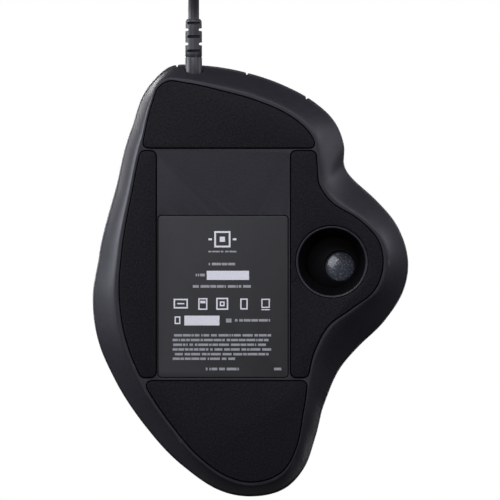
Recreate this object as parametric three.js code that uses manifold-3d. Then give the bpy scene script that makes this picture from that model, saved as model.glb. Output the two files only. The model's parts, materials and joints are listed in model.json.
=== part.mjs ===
// A wired thumb trackball for the right hand, in millimetres.
// +Z is up, +Y points to the cable end and +X to the user's right hand side.
// The origin is on the desk, under the middle of the body: the rubber feet stand on z = 0.
import * as THREE from "three";
import { mergeVertices } from "three/addons/utils/BufferGeometryUtils.js";
import Module from "manifold-3d";

const wasm = await Module();
wasm.setup();

// ---- driving dimensions ----

const around = 54;               // facets round the body
const touchGap = 0.3;            // clearance between pieces that touch
const panelGap = 0.4;            // clearance between the panels of the top

const hubX = 3;                  // every outline of the body is star-shaped about (hubX, 0)
const baseFloor = 0.6;           // underside of the base, above the desk
const floorInside = 2.8;         // upper face of the base floor
const partingHeight = 11;        // top of the base rim
const skirtBottom = 11.35;       // lower edge of the upper cover
const buttonBottom = 12.4;       // lower edge of the buttons, clear of the rim at full travel
const shoulderHeight = 14;       // height of the widest outline
const rimInset = 0.7;            // the base rim lies this far inside the widest outline
const flatMargin = 1.2;          // flat base outside the feet
const wallPower = 0.66;          // how fast the base wall flares: 1 is a straight slope
const baseWall = 2.5;            // level thickness of the base wall
const coverWall = 2.2;           // thickness of the upper cover
const domePower = 2.4;           // roundness of the upper cover's edge
const edgeHeight = 17;           // the top never falls lower than this before its rounded edge

const crown = { x: 2, y: -10, z: 49.6 };

const ballCentre = new THREE.Vector3(-27.5, 4.5, 26.5);
const ballRadius = 18;
const ballOpening = { radius: 17.7, clearance: 18.7, axis: new THREE.Vector3(-0.5, 0.05, 0.86) };
const cup = { inner: 18.9, outer: 20.7, holeAngle: 13.5, rimAngle: 55 };
const support = { angle: 45, ballRadius: 1.25, holderRadius: 2.1, boreRadius: 2.4 };

const fingerHole = { x: -25, y: 5.7, radius: 10.4, topRadius: 7.9, top: 6.1 };

const wheel = { x: 1.1, y: 44, z: 19.6, radius: 10.7, width: 7, hubRadius: 8.6, axleRadius: 1.2 };
const wheelSlot = { halfWidth: 4.5, rear: 33.5, front: 57.5 };

const padThickness = 1;
const padRecess = 1.3;
const grooveWidth = 0.35;
const padEdges = { front: 40.9, sideFront: 39.8, right: 29.2, left: -12.45, sideRear: -29.7, rear: -31 };

const label = { left: -11.4, right: 28.4, rear: -29.7, front: 19.9, bottom: 0.5, top: 0.9 };

const board = { bottom: 5.2, top: 6.8 };
const sideBoard = { bottom: 7, top: 8.2 };

const cableRadius = 1.7;
const relief = { x: 17.6, z: 7.2, radius: 2.6, rear: 58.3, front: 80.7 };
const coil = { x: -4.35, y: 120, inner: 13, outer: 24, bottom: 0.6, top: 14.6 };
const plug = {
  y: 151.5, z: 4.4, bootStart: -9.5, bootRadius: 2.7, bodyStart: -15.5, bodyEnd: -35, shellEnd: -47.5,
};

// Widest outline of the body, anticlockwise from the front right corner.
const silhouettePoints = [
  [24, 66.6], [16, 66.7], [2, 64.6], [-10, 60.6], [-20, 55.1], [-26, 49.3], [-29, 41.8], [-29, 35.8],
  [-32, 31.2], [-38.5, 25.3], [-45.5, 16.8], [-48.8, 6.5], [-47.6, -2.6], [-42, -12], [-33.5, -20.5],
  [-27, -28.5], [-22.6, -39], [-20, -49], [-16.6, -58.2], [-10.5, -64.6], [-1, -67], [9, -65.4],
  [21, -57.6], [33, -44.8], [42, -31], [47.2, -19], [49, -5.5], [47, 8], [42, 28], [37, 47],
  [33.4, 57.4], [28.4, 63.8],
];

// Outer edge of the four feet taken as one outline, anticlockwise from the front.
const feetPoints = [
  [25, 61.2], [20, 60.6], [9, 58.2], [-2, 55.1], [-10.5, 51.4], [-16.5, 47], [-19.6, 42.2],
  [-20.2, 36], [-20.9, 29.5], [-25.5, 23.4], [-34, 18], [-39.2, 12], [-40.5, 4.5], [-37.8, -3],
  [-31, -8.4], [-24, -13.6], [-19.6, -21.4], [-17.6, -29.5], [-16, -40.5], [-13.6, -52],
  [-9.4, -58.8], [-1, -61.8], [7, -60.1], [15.5, -54.2], [24.5, -43.8], [32, -32.6],
  [37.6, -20], [40.2, -5], [39.3, 10], [36.5, 26], [33.1, 42], [30.2, 54], [28.4, 59],
];

// Outlines of the buttons in plan; the open ends of the long ones reach past the body.
const leftButtonPoints = [
  [0.9, 9.5], [0.9, 80], [-17.3, 80], [-17.3, 57], [-17, 44], [-15.8, 30], [-13, 20.5],
  [-9.5, 14.2], [-5, 10.8],
];
const rightButtonPoints = [
  [1.3, 9.5], [7, 8.8], [12.5, 9.8], [17, 13], [20.4, 20], [22.2, 30], [22.8, 45], [22.5, 80], [1.3, 80],
];
const forwardButtonPoints = [[-17.5, 43.9], [-17.7, 52], [-20.8, 49.8], [-23.9, 46.6], [-24.7, 44.5]];
const backButtonPoints = [[-16.3, 31.5], [-17.4, 43.5], [-24.9, 44.1], [-26.6, 40.5], [-27, 36.8]];

const boardPoints = [
  [-16, 33], [-2, 33], [0, 20], [4, 6.5], [35, 6.5], [34, 20], [31, 38], [29, 50], [24, 53.5],
  [10, 53.5], [-5, 51.5], [-15, 46],
];
const sideBoardPoints = [[-22.5, 34.5], [-17, 34.5], [-17, 48.4], [-19.5, 48.4], [-22.3, 43]];

// Case screws under the feet, and the screws that hold the ball cup.
const caseScrews = [[27, 47], [33.5, 0], [15, -46], [-6, -49]];
const cupScrews = [[-7.5, 18], [-12.5, -15]];

// Microswitches: the small levered ones under the long buttons, and the square tact ones.
const buttonSwitches = [
  { name: "left", x: -11, y: 42 },
  { name: "right", x: 15, y: 42 },
];
const tactSwitches = [
  { name: "wheel", x: -4.7, y: 32.5, floor: board.top, post: false },
  { name: "forward", x: -19.2, y: 45.2, floor: sideBoard.top, post: true },
  { name: "back", x: -19.8, y: 38, floor: sideBoard.top, post: true },
];
const microswitch = { length: 12.8, width: 5.8, height: 6.5, plunger: 1.05, proud: 0.9 };
const tactSwitch = { size: 4.5, height: 3.4, plunger: 1.5, proud: 0.7 };

// ---- materials ----

function finish(color, roughness, metalness = 0) {
  return new THREE.MeshStandardMaterial({ color, roughness, metalness });
}

const casing = finish(0x2b2b30, 0.55);
const cover = finish(0x26262a, 0.6);
const buttonPlastic = finish(0x242428, 0.5);
const footRubber = finish(0x1d1d21, 0.9);
const labelFilm = finish(0x38383c, 0.45);
const ballResin = finish(0x4a4c54, 0.25, 0.3);
const cupPlastic = finish(0x0f0f11, 0.6);
const ruby = finish(0x8c1024, 0.15);
const steel = finish(0xb8b8bc, 0.35, 1);
const circuitGreen = finish(0x1e4a2c, 0.5);
const componentBlack = finish(0x141416, 0.5);
const plungerRed = finish(0xa82020, 0.5);
const tyreRubber = finish(0x18181a, 0.85);
const hubPlastic = finish(0x3a3a40, 0.5);
const cableJacket = finish(0x1a1a1c, 0.6);
const contactPlastic = finish(0xe6e6e6, 0.5);
const lensPlastic = finish(0xcfd8e0, 0.1);

// ---- shape helpers ----

function solidOf(geometry) {
  const bare = geometry.clone();
  bare.deleteAttribute("normal");
  bare.deleteAttribute("uv");
  const merged = mergeVertices(bare, 1e-4);
  return new wasm.Manifold(new wasm.Mesh({
    numProp: 3,
    vertProperties: new Float32Array(merged.attributes.position.array),
    triVerts: new Uint32Array(merged.index.array),
  }));
}

function geometryOf(solid) {
  const mesh = solid.getMesh();
  const geometry = new THREE.BufferGeometry();
  geometry.setAttribute("position", new THREE.BufferAttribute(new Float32Array(mesh.vertProperties), 3));
  geometry.setIndex(new THREE.BufferAttribute(new Uint32Array(mesh.triVerts), 1));
  geometry.computeVertexNormals();
  return geometry;
}

function box(low, high) {
  const size = high.map((value, axis) => value - low[axis]);
  const geometry = new THREE.BoxGeometry(...size);
  geometry.translate(...high.map((value, axis) => (value + low[axis]) / 2));
  return solidOf(geometry);
}

// A cylinder or cone standing on the Z axis at (x, y).
function post(x, y, bottom, top, radius, topRadius = radius, sides = 16) {
  const geometry = new THREE.CylinderGeometry(topRadius, radius, top - bottom, sides);
  geometry.rotateX(Math.PI / 2);
  geometry.translate(x, y, (bottom + top) / 2);
  return solidOf(geometry);
}

// A cylinder between two points.
function rod(start, end, radius, sides = 16) {
  const run = new THREE.Vector3().subVectors(end, start);
  const geometry = new THREE.CylinderGeometry(radius, radius, run.length(), sides);
  const turn = new THREE.Quaternion().setFromUnitVectors(new THREE.Vector3(0, 1, 0), run.clone().normalize());
  geometry.applyQuaternion(turn);
  geometry.translate(...new THREE.Vector3().addVectors(start, end).multiplyScalar(0.5).toArray());
  return solidOf(geometry);
}

function sphere(centre, radius, sides = 24) {
  const geometry = new THREE.SphereGeometry(radius, sides, Math.round(sides * 0.6));
  geometry.rotateX(Math.PI / 2);
  geometry.translate(...centre.toArray());
  return solidOf(geometry);
}

// A plan outline raised from one height to another.
function prism(points, bottom, top) {
  const shape = new THREE.Shape(points.map(([x, y]) => new THREE.Vector2(x, y)));
  const geometry = new THREE.ExtrudeGeometry(shape, { depth: top - bottom, bevelEnabled: false });
  geometry.translate(0, 0, bottom);
  return solidOf(geometry);
}

// Moves every side of an anticlockwise outline outwards by a distance.
function grow(points, distance) {
  const corners = points.map(([x, y]) => new THREE.Vector2(x, y));
  return corners.map((corner, i) => {
    const before = corners[(i + corners.length - 1) % corners.length];
    const after = corners[(i + 1) % corners.length];
    const first = new THREE.Vector2(corner.y - before.y, before.x - corner.x).normalize();
    const second = new THREE.Vector2(after.y - corner.y, corner.x - after.x).normalize();
    const reach = distance / (1 + first.dot(second));
    return [corner.x + (first.x + second.x) * reach, corner.y + (first.y + second.y) * reach];
  });
}

// A ring of revolution from a closed profile of [radius, height] pairs, about the Z axis.
function lathe(profile, x = 0, y = 0, sides = 32) {
  const points = profile.map(([radius, height]) => new THREE.Vector2(radius, height));
  const closed = profile[0][0] > 0 ? [...points, points[0].clone()] : points;
  const geometry = new THREE.LatheGeometry(closed, sides);
  geometry.rotateX(Math.PI / 2);
  geometry.translate(x, y, 0);
  return solidOf(geometry);
}

// Closes a stack of level or curved rings, lowest first, with a fan at each end.
function ringStack(rings, foot, head) {
  const count = rings[0].length;
  const points = [...rings.flat(), foot, head];
  const footIndex = points.length - 2;
  const headIndex = points.length - 1;
  const index = [];
  for (let i = 0; i < count; i += 1) {
    const next = (i + 1) % count;
    index.push(footIndex, next, i);
    for (let k = 0; k + 1 < rings.length; k += 1) {
      const low = k * count;
      const high = low + count;
      index.push(low + i, low + next, high + next, low + i, high + next, high + i);
    }
    const last = (rings.length - 1) * count;
    index.push(headIndex, last + i, last + next);
  }
  const geometry = new THREE.BufferGeometry();
  geometry.setAttribute("position", new THREE.Float32BufferAttribute(points.flatMap((p) => p.toArray()), 3));
  geometry.setIndex(index);
  return solidOf(geometry);
}

function joined(solids) {
  return solids.reduce((whole, solid) => whole.add(solid));
}

function cutBy(solid, tools) {
  return tools.reduce((rest, tool) => rest.subtract(tool), solid);
}

// ---- the body's surfaces ----

// Distance from the hub to an outline, as a smooth periodic curve through its points.
function radiusCurve(points) {
  const knots = points
    .map(([x, y]) => ({ angle: Math.atan2(y, x - hubX), radius: Math.hypot(x - hubX, y) }))
    .sort((a, b) => a.angle - b.angle);
  const turn = 2 * Math.PI;
  const knot = (k) => {
    const laps = Math.floor(k / knots.length);
    const { angle, radius } = knots[k - laps * knots.length];
    return { angle: angle + laps * turn, radius };
  };
  const slope = (k) => (knot(k + 1).radius - knot(k - 1).radius) / (knot(k + 1).angle - knot(k - 1).angle);
  return (anyAngle) => {
    const angle = anyAngle - turn * Math.floor((anyAngle - knots[0].angle) / turn);
    let k = 0;
    while (knot(k + 1).angle <= angle) {
      k += 1;
    }
    const span = knot(k + 1).angle - knot(k).angle;
    const t = (angle - knot(k).angle) / span;
    const start = knot(k).radius;
    const end = knot(k + 1).radius;
    return start * (1 + 2 * t) * (1 - t) ** 2 + end * t * t * (3 - 2 * t)
      + span * (slope(k) * t * (1 - t) ** 2 - slope(k + 1) * t * t * (1 - t));
  };
}

const silhouette = radiusCurve(silhouettePoints);
const feetEdge = radiusCurve(feetPoints);

const turnAngles = Array.from({ length: around }, (unused, i) => (2 * Math.PI * i) / around);

function planPoint(angle, radius, z) {
  return new THREE.Vector3(hubX + radius * Math.cos(angle), radius * Math.sin(angle), z);
}

// Outside of the base wall: a flat bottom that turns up into a flared bowl.
function baseRadius(angle, z) {
  const flat = feetEdge(angle) + flatMargin;
  const rim = silhouette(angle) - rimInset;
  const rise = (z - baseFloor) / (partingHeight - baseFloor);
  return flat + (rim - flat) * rise ** wallPower;
}

// Height that the top would have with no rounded edge: falls away from the crown on every side.
function fall(distance, drop, reach) {
  return drop * (Math.sqrt(1 + (distance / reach) ** 2) - 1);
}

function plateau(x, y) {
  const across = x > crown.x ? fall(x - crown.x, 20, 27) : fall(crown.x - x, 9, 12);
  const along = y > crown.y ? 32 * ((y - crown.y) / 74) ** 2 : 26 * ((y - crown.y) / 52) ** 2;
  const toBall = Math.hypot(x - ballCentre.x, y - ballCentre.y);
  const aboveEdge = crown.z - across - along + 5 * Math.exp(-((toBall / 24) ** 2)) - edgeHeight;
  return edgeHeight + (aboveEdge + Math.sqrt(aboveEdge ** 2 + 9)) / 2;
}

function domeHeight(x, y, wall, rise) {
  return shoulderHeight + (plateau(x, y) - wall - shoulderHeight) * rise;
}

function domeRings(wall, steps) {
  const rings = [];
  for (let k = 0; k < steps; k += 1) {
    const tilt = (Math.PI / 2) * (k / steps);
    const share = Math.cos(tilt) ** (2 / domePower);
    const rise = Math.sin(tilt) ** (2 / domePower);
    rings.push(turnAngles.map((angle) => {
      const point = planPoint(angle, (silhouette(angle) - wall) * share, 0);
      point.z = domeHeight(point.x, point.y, wall, rise);
      return point;
    }));
  }
  return rings;
}

function levelRing(radiusAt, z) {
  return turnAngles.map((angle) => planPoint(angle, radiusAt(angle), z));
}

const hubAt = (z) => new THREE.Vector3(hubX, 0, z);

// Everything inside the upper cover's outer face, and its cavity.
const coverOutside = ringStack(
  [
    levelRing((angle) => silhouette(angle) - 0.5, skirtBottom),
    levelRing((angle) => silhouette(angle) - 0.12, (skirtBottom + shoulderHeight) / 2),
    ...domeRings(0, 10),
  ],
  hubAt(skirtBottom),
  hubAt(domeHeight(hubX, 0, 0, 1)),
);
const coverInside = ringStack(
  [
    levelRing((angle) => silhouette(angle) - coverWall - 0.5, skirtBottom - 2),
    ...domeRings(coverWall, 7),
  ],
  hubAt(skirtBottom - 2),
  hubAt(domeHeight(hubX, 0, coverWall, 1)),
);
const coverSkin = coverOutside.subtract(coverInside);

const baseHeights = [baseFloor, 0.75, 1.3, 2.6, 5.2, 8.2, partingHeight];
const baseOutside = ringStack(
  baseHeights.map((z) => levelRing((angle) => baseRadius(angle, z), z)),
  hubAt(baseFloor),
  hubAt(partingHeight),
);
const cavityHeights = [floorInside, 5.2, 8.2, partingHeight + 1];
const baseInside = ringStack(
  cavityHeights.map((z) => levelRing((angle) => baseRadius(angle, Math.min(z, partingHeight)) - baseWall, z)),
  hubAt(floorInside),
  hubAt(partingHeight + 1),
);

const ballAxis = ballOpening.axis.clone().normalize();
const openingRod = rod(ballCentre, ballCentre.clone().addScaledVector(ballAxis, 40), ballOpening.radius, 36);
const ballRoom = sphere(ballCentre, ballOpening.clearance, 36);

// ---- the feet and the base ----

function footOutline(margin) {
  return turnAngles.map((angle) => {
    const point = planPoint(angle, feetEdge(angle) + margin, 0);
    return [point.x, point.y];
  });
}

// Each foot is the cell of one outline that lies between straight strips of the base.
function footCells(margin, top) {
  const whole = prism(footOutline(margin), 0, top);
  const far = 90;
  const cell = (x0, x1, y0, y1) => whole.intersect(box([x0, y0, -1], [x1, y1, far]));
  const hole = post(fingerHole.x, fingerHole.y, -1, 5, fingerHole.radius + 0.7 - margin, undefined, 28);
  return {
    front_foot: cell(-far, far, padEdges.front - margin, far),
    right_foot: cell(padEdges.right - margin, far, padEdges.sideRear - margin, padEdges.sideFront + margin),
    ball_side_foot: cell(-far, padEdges.left + margin, padEdges.sideRear - margin,
      padEdges.sideFront + margin).subtract(hole),
    rear_foot: cell(-far, far, -far, padEdges.rear + margin),
  };
}

function screwPillar([x, y]) {
  return post(x, y, 2, 8.7, 4);
}

function baseShell() {
  const additions = [
    ...caseScrews.map(screwPillar),
    ...cupScrews.map(([x, y]) => post(x, y, 2, 9, 2.8)),
    post(-8, 36, 2, board.bottom - touchGap, 2),
    post(27, 22, 2, board.bottom - touchGap, 2),
    post(10, 50, 2, board.bottom - touchGap, 2),
    post(-20.6, 43, 2, sideBoard.bottom - touchGap, 2),
    lathe([[fingerHole.radius - 0.8, 2], [fingerHole.radius + 1.6, 2],
      [fingerHole.topRadius + 1.4, fingerHole.top], [fingerHole.topRadius, fingerHole.top]],
    fingerHole.x, fingerHole.y, 28),
  ];
  const shell = joined([baseOutside.subtract(baseInside), ...additions]);
  const labelRoom = box(
    [label.left - touchGap, label.rear - touchGap, -1],
    [label.right + touchGap, label.front + touchGap, label.top + touchGap],
  );
  return cutBy(shell, [
    ...Object.values(footCells(grooveWidth, padRecess)),
    labelRoom,
    post(fingerHole.x, fingerHole.y, -1, 3, fingerHole.radius, fingerHole.radius - 0.5, 28),
    ...caseScrews.map(([x, y]) => post(x, y, -1, 4.3, 2.9)),
    ...caseScrews.map(([x, y]) => post(x, y, 4, 9, 1.5, 1.5, 12)),
    ...cupScrews.map(([x, y]) => post(x, y, 4, 10, 1.4, 1.4, 12)),
    rod(new THREE.Vector3(relief.x, 55, relief.z), new THREE.Vector3(relief.x, 75, relief.z),
      relief.radius + 0.35),
  ]);
}

// ---- the upper cover and its buttons ----

const buttonOutlines = {
  left_button: leftButtonPoints,
  right_button: rightButtonPoints,
  forward_button: forwardButtonPoints,
  back_button: backButtonPoints,
};

const slotCutter = joined([
  box([wheel.x - wheelSlot.halfWidth, wheelSlot.rear + wheelSlot.halfWidth, 0],
    [wheel.x + wheelSlot.halfWidth, wheelSlot.front - wheelSlot.halfWidth, 60]),
  post(wheel.x, wheelSlot.rear + wheelSlot.halfWidth, 0, 60, wheelSlot.halfWidth),
  post(wheel.x, wheelSlot.front - wheelSlot.halfWidth, 0, 60, wheelSlot.halfWidth),
]);

function topShell() {
  const bossRoom = coverOutside.add(box([-90, -90, 9], [90, 90, skirtBottom + 1]));
  const bosses = caseScrews.map(([x, y]) => post(x, y, 9.1, 60, 3.2).intersect(bossRoom));
  const holes = caseScrews.map(([x, y]) => post(x, y, 8, 17, 1.5, 1.5, 12));
  const cutters = Object.values(buttonOutlines).map((points) => prism(grow(points, panelGap), 0, 70));
  return cutBy(joined([coverSkin, ...bosses]), [...cutters, ballRoom, openingRod, ...holes]);
}

// A button is its piece of the cover with a post that reaches down to its switch.
function button(name, switchSpot, plungerTop) {
  const outline = prism(buttonOutlines[name], buttonBottom, 70);
  const panel = coverSkin.intersect(outline).subtract(slotCutter);
  const presser = post(switchSpot.x, switchSpot.y, plungerTop + touchGap, 60, 1.3, 1.3, 12);
  return panel.add(presser.intersect(coverOutside));
}

// ---- the ball and its cup ----

function alongBall(polarDegrees, turnDegrees, distance) {
  const polar = THREE.MathUtils.degToRad(polarDegrees);
  const azimuth = THREE.MathUtils.degToRad(turnDegrees);
  return new THREE.Vector3(
    ballCentre.x + distance * Math.sin(polar) * Math.cos(azimuth),
    ballCentre.y + distance * Math.sin(polar) * Math.sin(azimuth),
    ballCentre.z - distance * Math.cos(polar),
  );
}

const supportTurns = [90, 210, 330];
const sensorSpot = { polar: 48, turn: 0 };

function ballCup() {
  const profile = [];
  const steps = 5;
  for (let k = 0; k <= steps; k += 1) {
    const polar = THREE.MathUtils.degToRad(cup.holeAngle + ((cup.rimAngle - cup.holeAngle) * k) / steps);
    profile.push([cup.outer * Math.sin(polar), ballCentre.z - cup.outer * Math.cos(polar)]);
  }
  for (let k = steps; k >= 0; k -= 1) {
    const polar = THREE.MathUtils.degToRad(cup.holeAngle + ((cup.rimAngle - cup.holeAngle) * k) / steps);
    profile.push([cup.inner * Math.sin(polar), ballCentre.z - cup.inner * Math.cos(polar)]);
  }
  const bowl = lathe(profile, ballCentre.x, ballCentre.y, 30);
  const ears = cupScrews.map(([x, y]) => {
    const inward = new THREE.Vector2(ballCentre.x - x, ballCentre.y - y).setLength(9);
    const across = new THREE.Vector2(-inward.y, inward.x).setLength(2);
    const arm = [
      [x + across.x, y + across.y],
      [x + inward.x + across.x, y + inward.y + across.y],
      [x + inward.x - across.x, y + inward.y - across.y],
      [x - across.x, y - across.y],
    ];
    return post(x, y, 9.3, 13.3, 3).add(prism(arm, 9.8, 13.1));
  });
  const bores = supportTurns.map((turn) => rod(
    alongBall(support.angle, turn, cup.inner - 2),
    alongBall(support.angle, turn, cup.outer + 2),
    support.boreRadius,
    12,
  ));
  const window = rod(
    alongBall(sensorSpot.polar, sensorSpot.turn, cup.inner - 2),
    alongBall(sensorSpot.polar, sensorSpot.turn, cup.outer + 2),
    2.6,
    12,
  );
  const innerSpace = sphere(ballCentre, cup.inner + 0.1, 30);
  return cutBy(joined([bowl, ...ears.map((ear) => ear.subtract(innerSpace))]), [
    ...bores,
    window,
    ...cupScrews.map(([x, y]) => post(x, y, 8, 15, 1.4, 1.4, 12)),
  ]);
}

function supportHolder(turn) {
  const seat = ballRadius + touchGap + 0.6;
  const holder = rod(alongBall(support.angle, turn, seat), alongBall(support.angle, turn, 23.4),
    support.holderRadius, 12);
  const socket = rod(alongBall(support.angle, turn, seat - 1), alongBall(support.angle, turn, 21.2),
    support.ballRadius + touchGap, 10);
  return holder.subtract(socket);
}

function supportBall(turn) {
  const distance = ballRadius + touchGap + support.ballRadius;
  return sphere(alongBall(support.angle, turn, distance), support.ballRadius, 10);
}

// ---- small pieces ----

function caseScrew([x, y]) {
  return post(x, y, 1.6, 3.9, 2.5).add(post(x, y, 3.8, 15, 1.15, 1.15, 12));
}

function cupScrew([x, y]) {
  return post(x, y, 13.6, 15.4, 2.3).add(post(x, y, 5, 13.7, 1.05, 1.05, 12));
}

function wheelDisc(radius, left, right, sides = 36) {
  const start = new THREE.Vector3(left, wheel.y, wheel.z);
  const end = new THREE.Vector3(right, wheel.y, wheel.z);
  return rod(start, end, radius, sides);
}

const wheelLeft = wheel.x - wheel.width / 2;
const wheelRight = wheel.x + wheel.width / 2;

function wheelTyre() {
  const grooves = [];
  const count = 15;
  for (let k = 0; k < count; k += 1) {
    const turn = (2 * Math.PI * k) / count;
    const y = wheel.y + (wheel.radius + 0.35) * Math.cos(turn);
    const z = wheel.z + (wheel.radius + 0.35) * Math.sin(turn);
    const start = new THREE.Vector3(wheelLeft + 1, y, z);
    const end = new THREE.Vector3(wheelRight - 1, y, z);
    grooves.push(rod(start, end, 0.75, 6));
  }
  const ring = wheelDisc(wheel.radius, wheelLeft, wheelRight)
    .subtract(wheelDisc(wheel.hubRadius + touchGap, wheelLeft - 1, wheelRight + 1));
  return cutBy(ring, grooves);
}

function wheelHub() {
  const rim = wheelDisc(wheel.hubRadius, wheelLeft + 0.3, wheelRight - 0.3);
  const hollow = wheelDisc(wheel.hubRadius - 1.6, wheelLeft - 1, wheelLeft + 1.8, 24);
  const bore = wheelDisc(wheel.axleRadius + touchGap, wheelLeft - 3, wheelRight + 3, 16);
  const boss = wheelDisc(2.8, wheelLeft + 0.3, wheelLeft + 2, 16);
  return rim.subtract(hollow).add(boss).subtract(bore);
}

const carriage = {
  left: -6.2, right: 8.1, thickness: 1.3, rear: 41, front: 47, bottom: 7.5, floor: 8.6, top: 21.4,
};

function wheelCarriage() {
  const sides = [carriage.left, carriage.right - carriage.thickness].map((x) => box(
    [x, carriage.rear, carriage.bottom],
    [x + carriage.thickness, carriage.front, carriage.top],
  ));
  const floor = box(
    [carriage.left, carriage.rear, carriage.bottom],
    [carriage.right, carriage.front, carriage.floor],
  );
  const arm = box([carriage.left, 30.5, 11.5], [carriage.left + 3, carriage.rear + 2, 13.1]);
  const bore = wheelDisc(wheel.axleRadius + touchGap, carriage.left - 2, carriage.right + 2, 16);
  return joined([...sides, floor, arm]).subtract(bore);
}

function microswitchBody({ x, y }) {
  const floor = board.top + touchGap;
  const top = floor + microswitch.height;
  const body = box(
    [x - microswitch.width / 2, y - microswitch.length / 2, floor],
    [x + microswitch.width / 2, y + microswitch.length / 2, top],
  );
  return body.subtract(post(x, y, top - 2.4, top + 1, microswitch.plunger + 0.35, undefined, 12));
}

function microswitchPlunger({ x, y }) {
  const top = board.top + touchGap + microswitch.height;
  return post(x, y, top - 1.4, top + microswitch.proud, microswitch.plunger, undefined, 12);
}

function tactBody({ x, y, floor }) {
  const bottom = floor + touchGap;
  const top = bottom + tactSwitch.height;
  const half = tactSwitch.size / 2;
  const body = box([x - half, y - half, bottom], [x + half, y + half, top]);
  return body.subtract(post(x, y, top - 2, top + 1, tactSwitch.plunger + 0.35, undefined, 12));
}

function tactPlunger({ x, y, floor }) {
  const top = floor + touchGap + tactSwitch.height;
  return post(x, y, top - 1, top + tactSwitch.proud, tactSwitch.plunger, undefined, 12);
}

function sensorPiece(near, far, width) {
  const start = alongBall(sensorSpot.polar, sensorSpot.turn, near);
  const end = alongBall(sensorSpot.polar, sensorSpot.turn, far);
  return rod(start, end, width, 4);
}

function mainBoard() {
  const plate = prism(boardPoints, board.bottom, board.top);
  return cutBy(plate, [
    ...caseScrews.map(([x, y]) => post(x, y, 0, 10, 4.6)),
    ...cupScrews.map(([x, y]) => post(x, y, 0, 10, 3.4)),
  ]);
}

// ---- the cable ----

function ringedRelief() {
  const profile = [
    [0, relief.rear], [4.2, relief.rear], [4.2, relief.rear + 1.8], [relief.radius, relief.rear + 1.8],
  ];
  const slots = [70.6, 73.5, 76.4];
  for (const y of slots) {
    profile.push([relief.radius, y - 0.9], [relief.radius - 0.7, y - 0.6], [relief.radius - 0.7, y],
      [relief.radius, y + 0.3]);
  }
  profile.push([relief.radius, relief.front - 0.7], [relief.radius - 0.6, relief.front], [0, relief.front]);
  const geometry = new THREE.LatheGeometry(profile.map(([radius, y]) => new THREE.Vector2(radius, y)), 14);
  geometry.translate(relief.x, 0, relief.z);
  return geometry;
}

function tubeAlong(points, radius, steps, sides = 8) {
  const knots = points.map((point) => new THREE.Vector3(...point));
  const curve = new THREE.CatmullRomCurve3(knots, false, "centripetal");
  const section = new THREE.Shape(Array.from({ length: sides }, (unused, i) => new THREE.Vector2(
    radius * Math.cos((2 * Math.PI * (i + 0.5)) / sides),
    radius * Math.sin((2 * Math.PI * (i + 0.5)) / sides),
  )));
  return new THREE.ExtrudeGeometry(section, { steps, extrudePath: curve, bevelEnabled: false });
}

// Out of the strain relief, down to the desk and up to the outer turn of the coil.
const cableRoute = [
  [17.6, 81, 7.2], [17.6, 84, 7.1], [17.6, 88, 6.2], [17.6, 93, 4.2], [17.6, 98, 2.6], [17.6, 102, 2.3],
  [17.6, 105.5, 2.3],
];
// From the side of the coil, where the last turn comes off, round to the plug.
const tailRoute = [
  [17.5, 137.2, 3.6], [14.2, 141.9, 3.4], [9.6, 146.2, 3.6], [3.6, 149.8, 4.1], [-3, 151.3, 4.4], [-9.2, 151.5, 4.4],
];
// Loom from the strain relief to the socket on the circuit board.
const loomRoute = [[17.6, 57.6, 7.3], [17.6, 56, 8.4], [18.5, 53, 9], [20.2, 50, 9.5], [20.6, 47.9, 9.5]];

function plugBody() {
  const half = { y: 6, z: 4.1 };
  const boot = rod(
    new THREE.Vector3(plug.bootStart, plug.y, plug.z),
    new THREE.Vector3(plug.bodyStart - 1, plug.y, plug.z),
    plug.bootRadius,
  );
  const grip = box(
    [plug.bodyEnd, plug.y - half.y, plug.z - half.z],
    [plug.bodyStart, plug.y + half.y, plug.z + half.z],
  );
  return boot.add(grip);
}

function plugShell() {
  const half = { y: 6, z: 2.25 };
  const start = plug.bodyEnd - touchGap;
  const outside = box(
    [plug.shellEnd, plug.y - half.y, plug.z - half.z],
    [start, plug.y + half.y, plug.z + half.z],
  );
  const inside = box([plug.shellEnd - 1, plug.y - half.y + 0.5, plug.z - half.z + 0.5],
    [start - 1.5, plug.y + half.y - 0.5, plug.z + half.z - 0.5]);
  return outside.subtract(inside);
}

function plugTongue() {
  return box(
    [plug.shellEnd + 0.6, plug.y - 5.2, plug.z + 0.2],
    [plug.bodyEnd - 2.1, plug.y + 5.2, plug.z + 1.4],
  );
}

function coilRing() {
  return lathe([[coil.inner, coil.bottom], [coil.outer, coil.bottom], [coil.outer, coil.top], [coil.inner, coil.top]],
    coil.x, coil.y, 40);
}

// A strap that goes over the coil at its left side.
function coilTie() {
  const inside = { left: coil.x - coil.outer - 0.4, right: coil.x - coil.inner + 1.2, top: coil.top + 0.3 };
  const width = { rear: coil.y - 4, front: coil.y + 4 };
  const outer = box([inside.left - 1.2, width.rear, 0.1], [inside.right + 1.2, width.front, inside.top + 1.2]);
  return outer.subtract(box([inside.left, width.rear - 1, -1], [inside.right, width.front + 1, inside.top]));
}

// ---- the assembly ----

const group = new THREE.Group();
group.name = "thumb_trackball";

function place(name, shape, material) {
  const geometry = shape.isBufferGeometry ? shape : geometryOf(shape);
  const mesh = new THREE.Mesh(geometry, material);
  mesh.name = name;
  group.add(mesh);
}

place("bottom_shell", baseShell(), casing);
place("top_shell", topShell(), cover);

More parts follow.
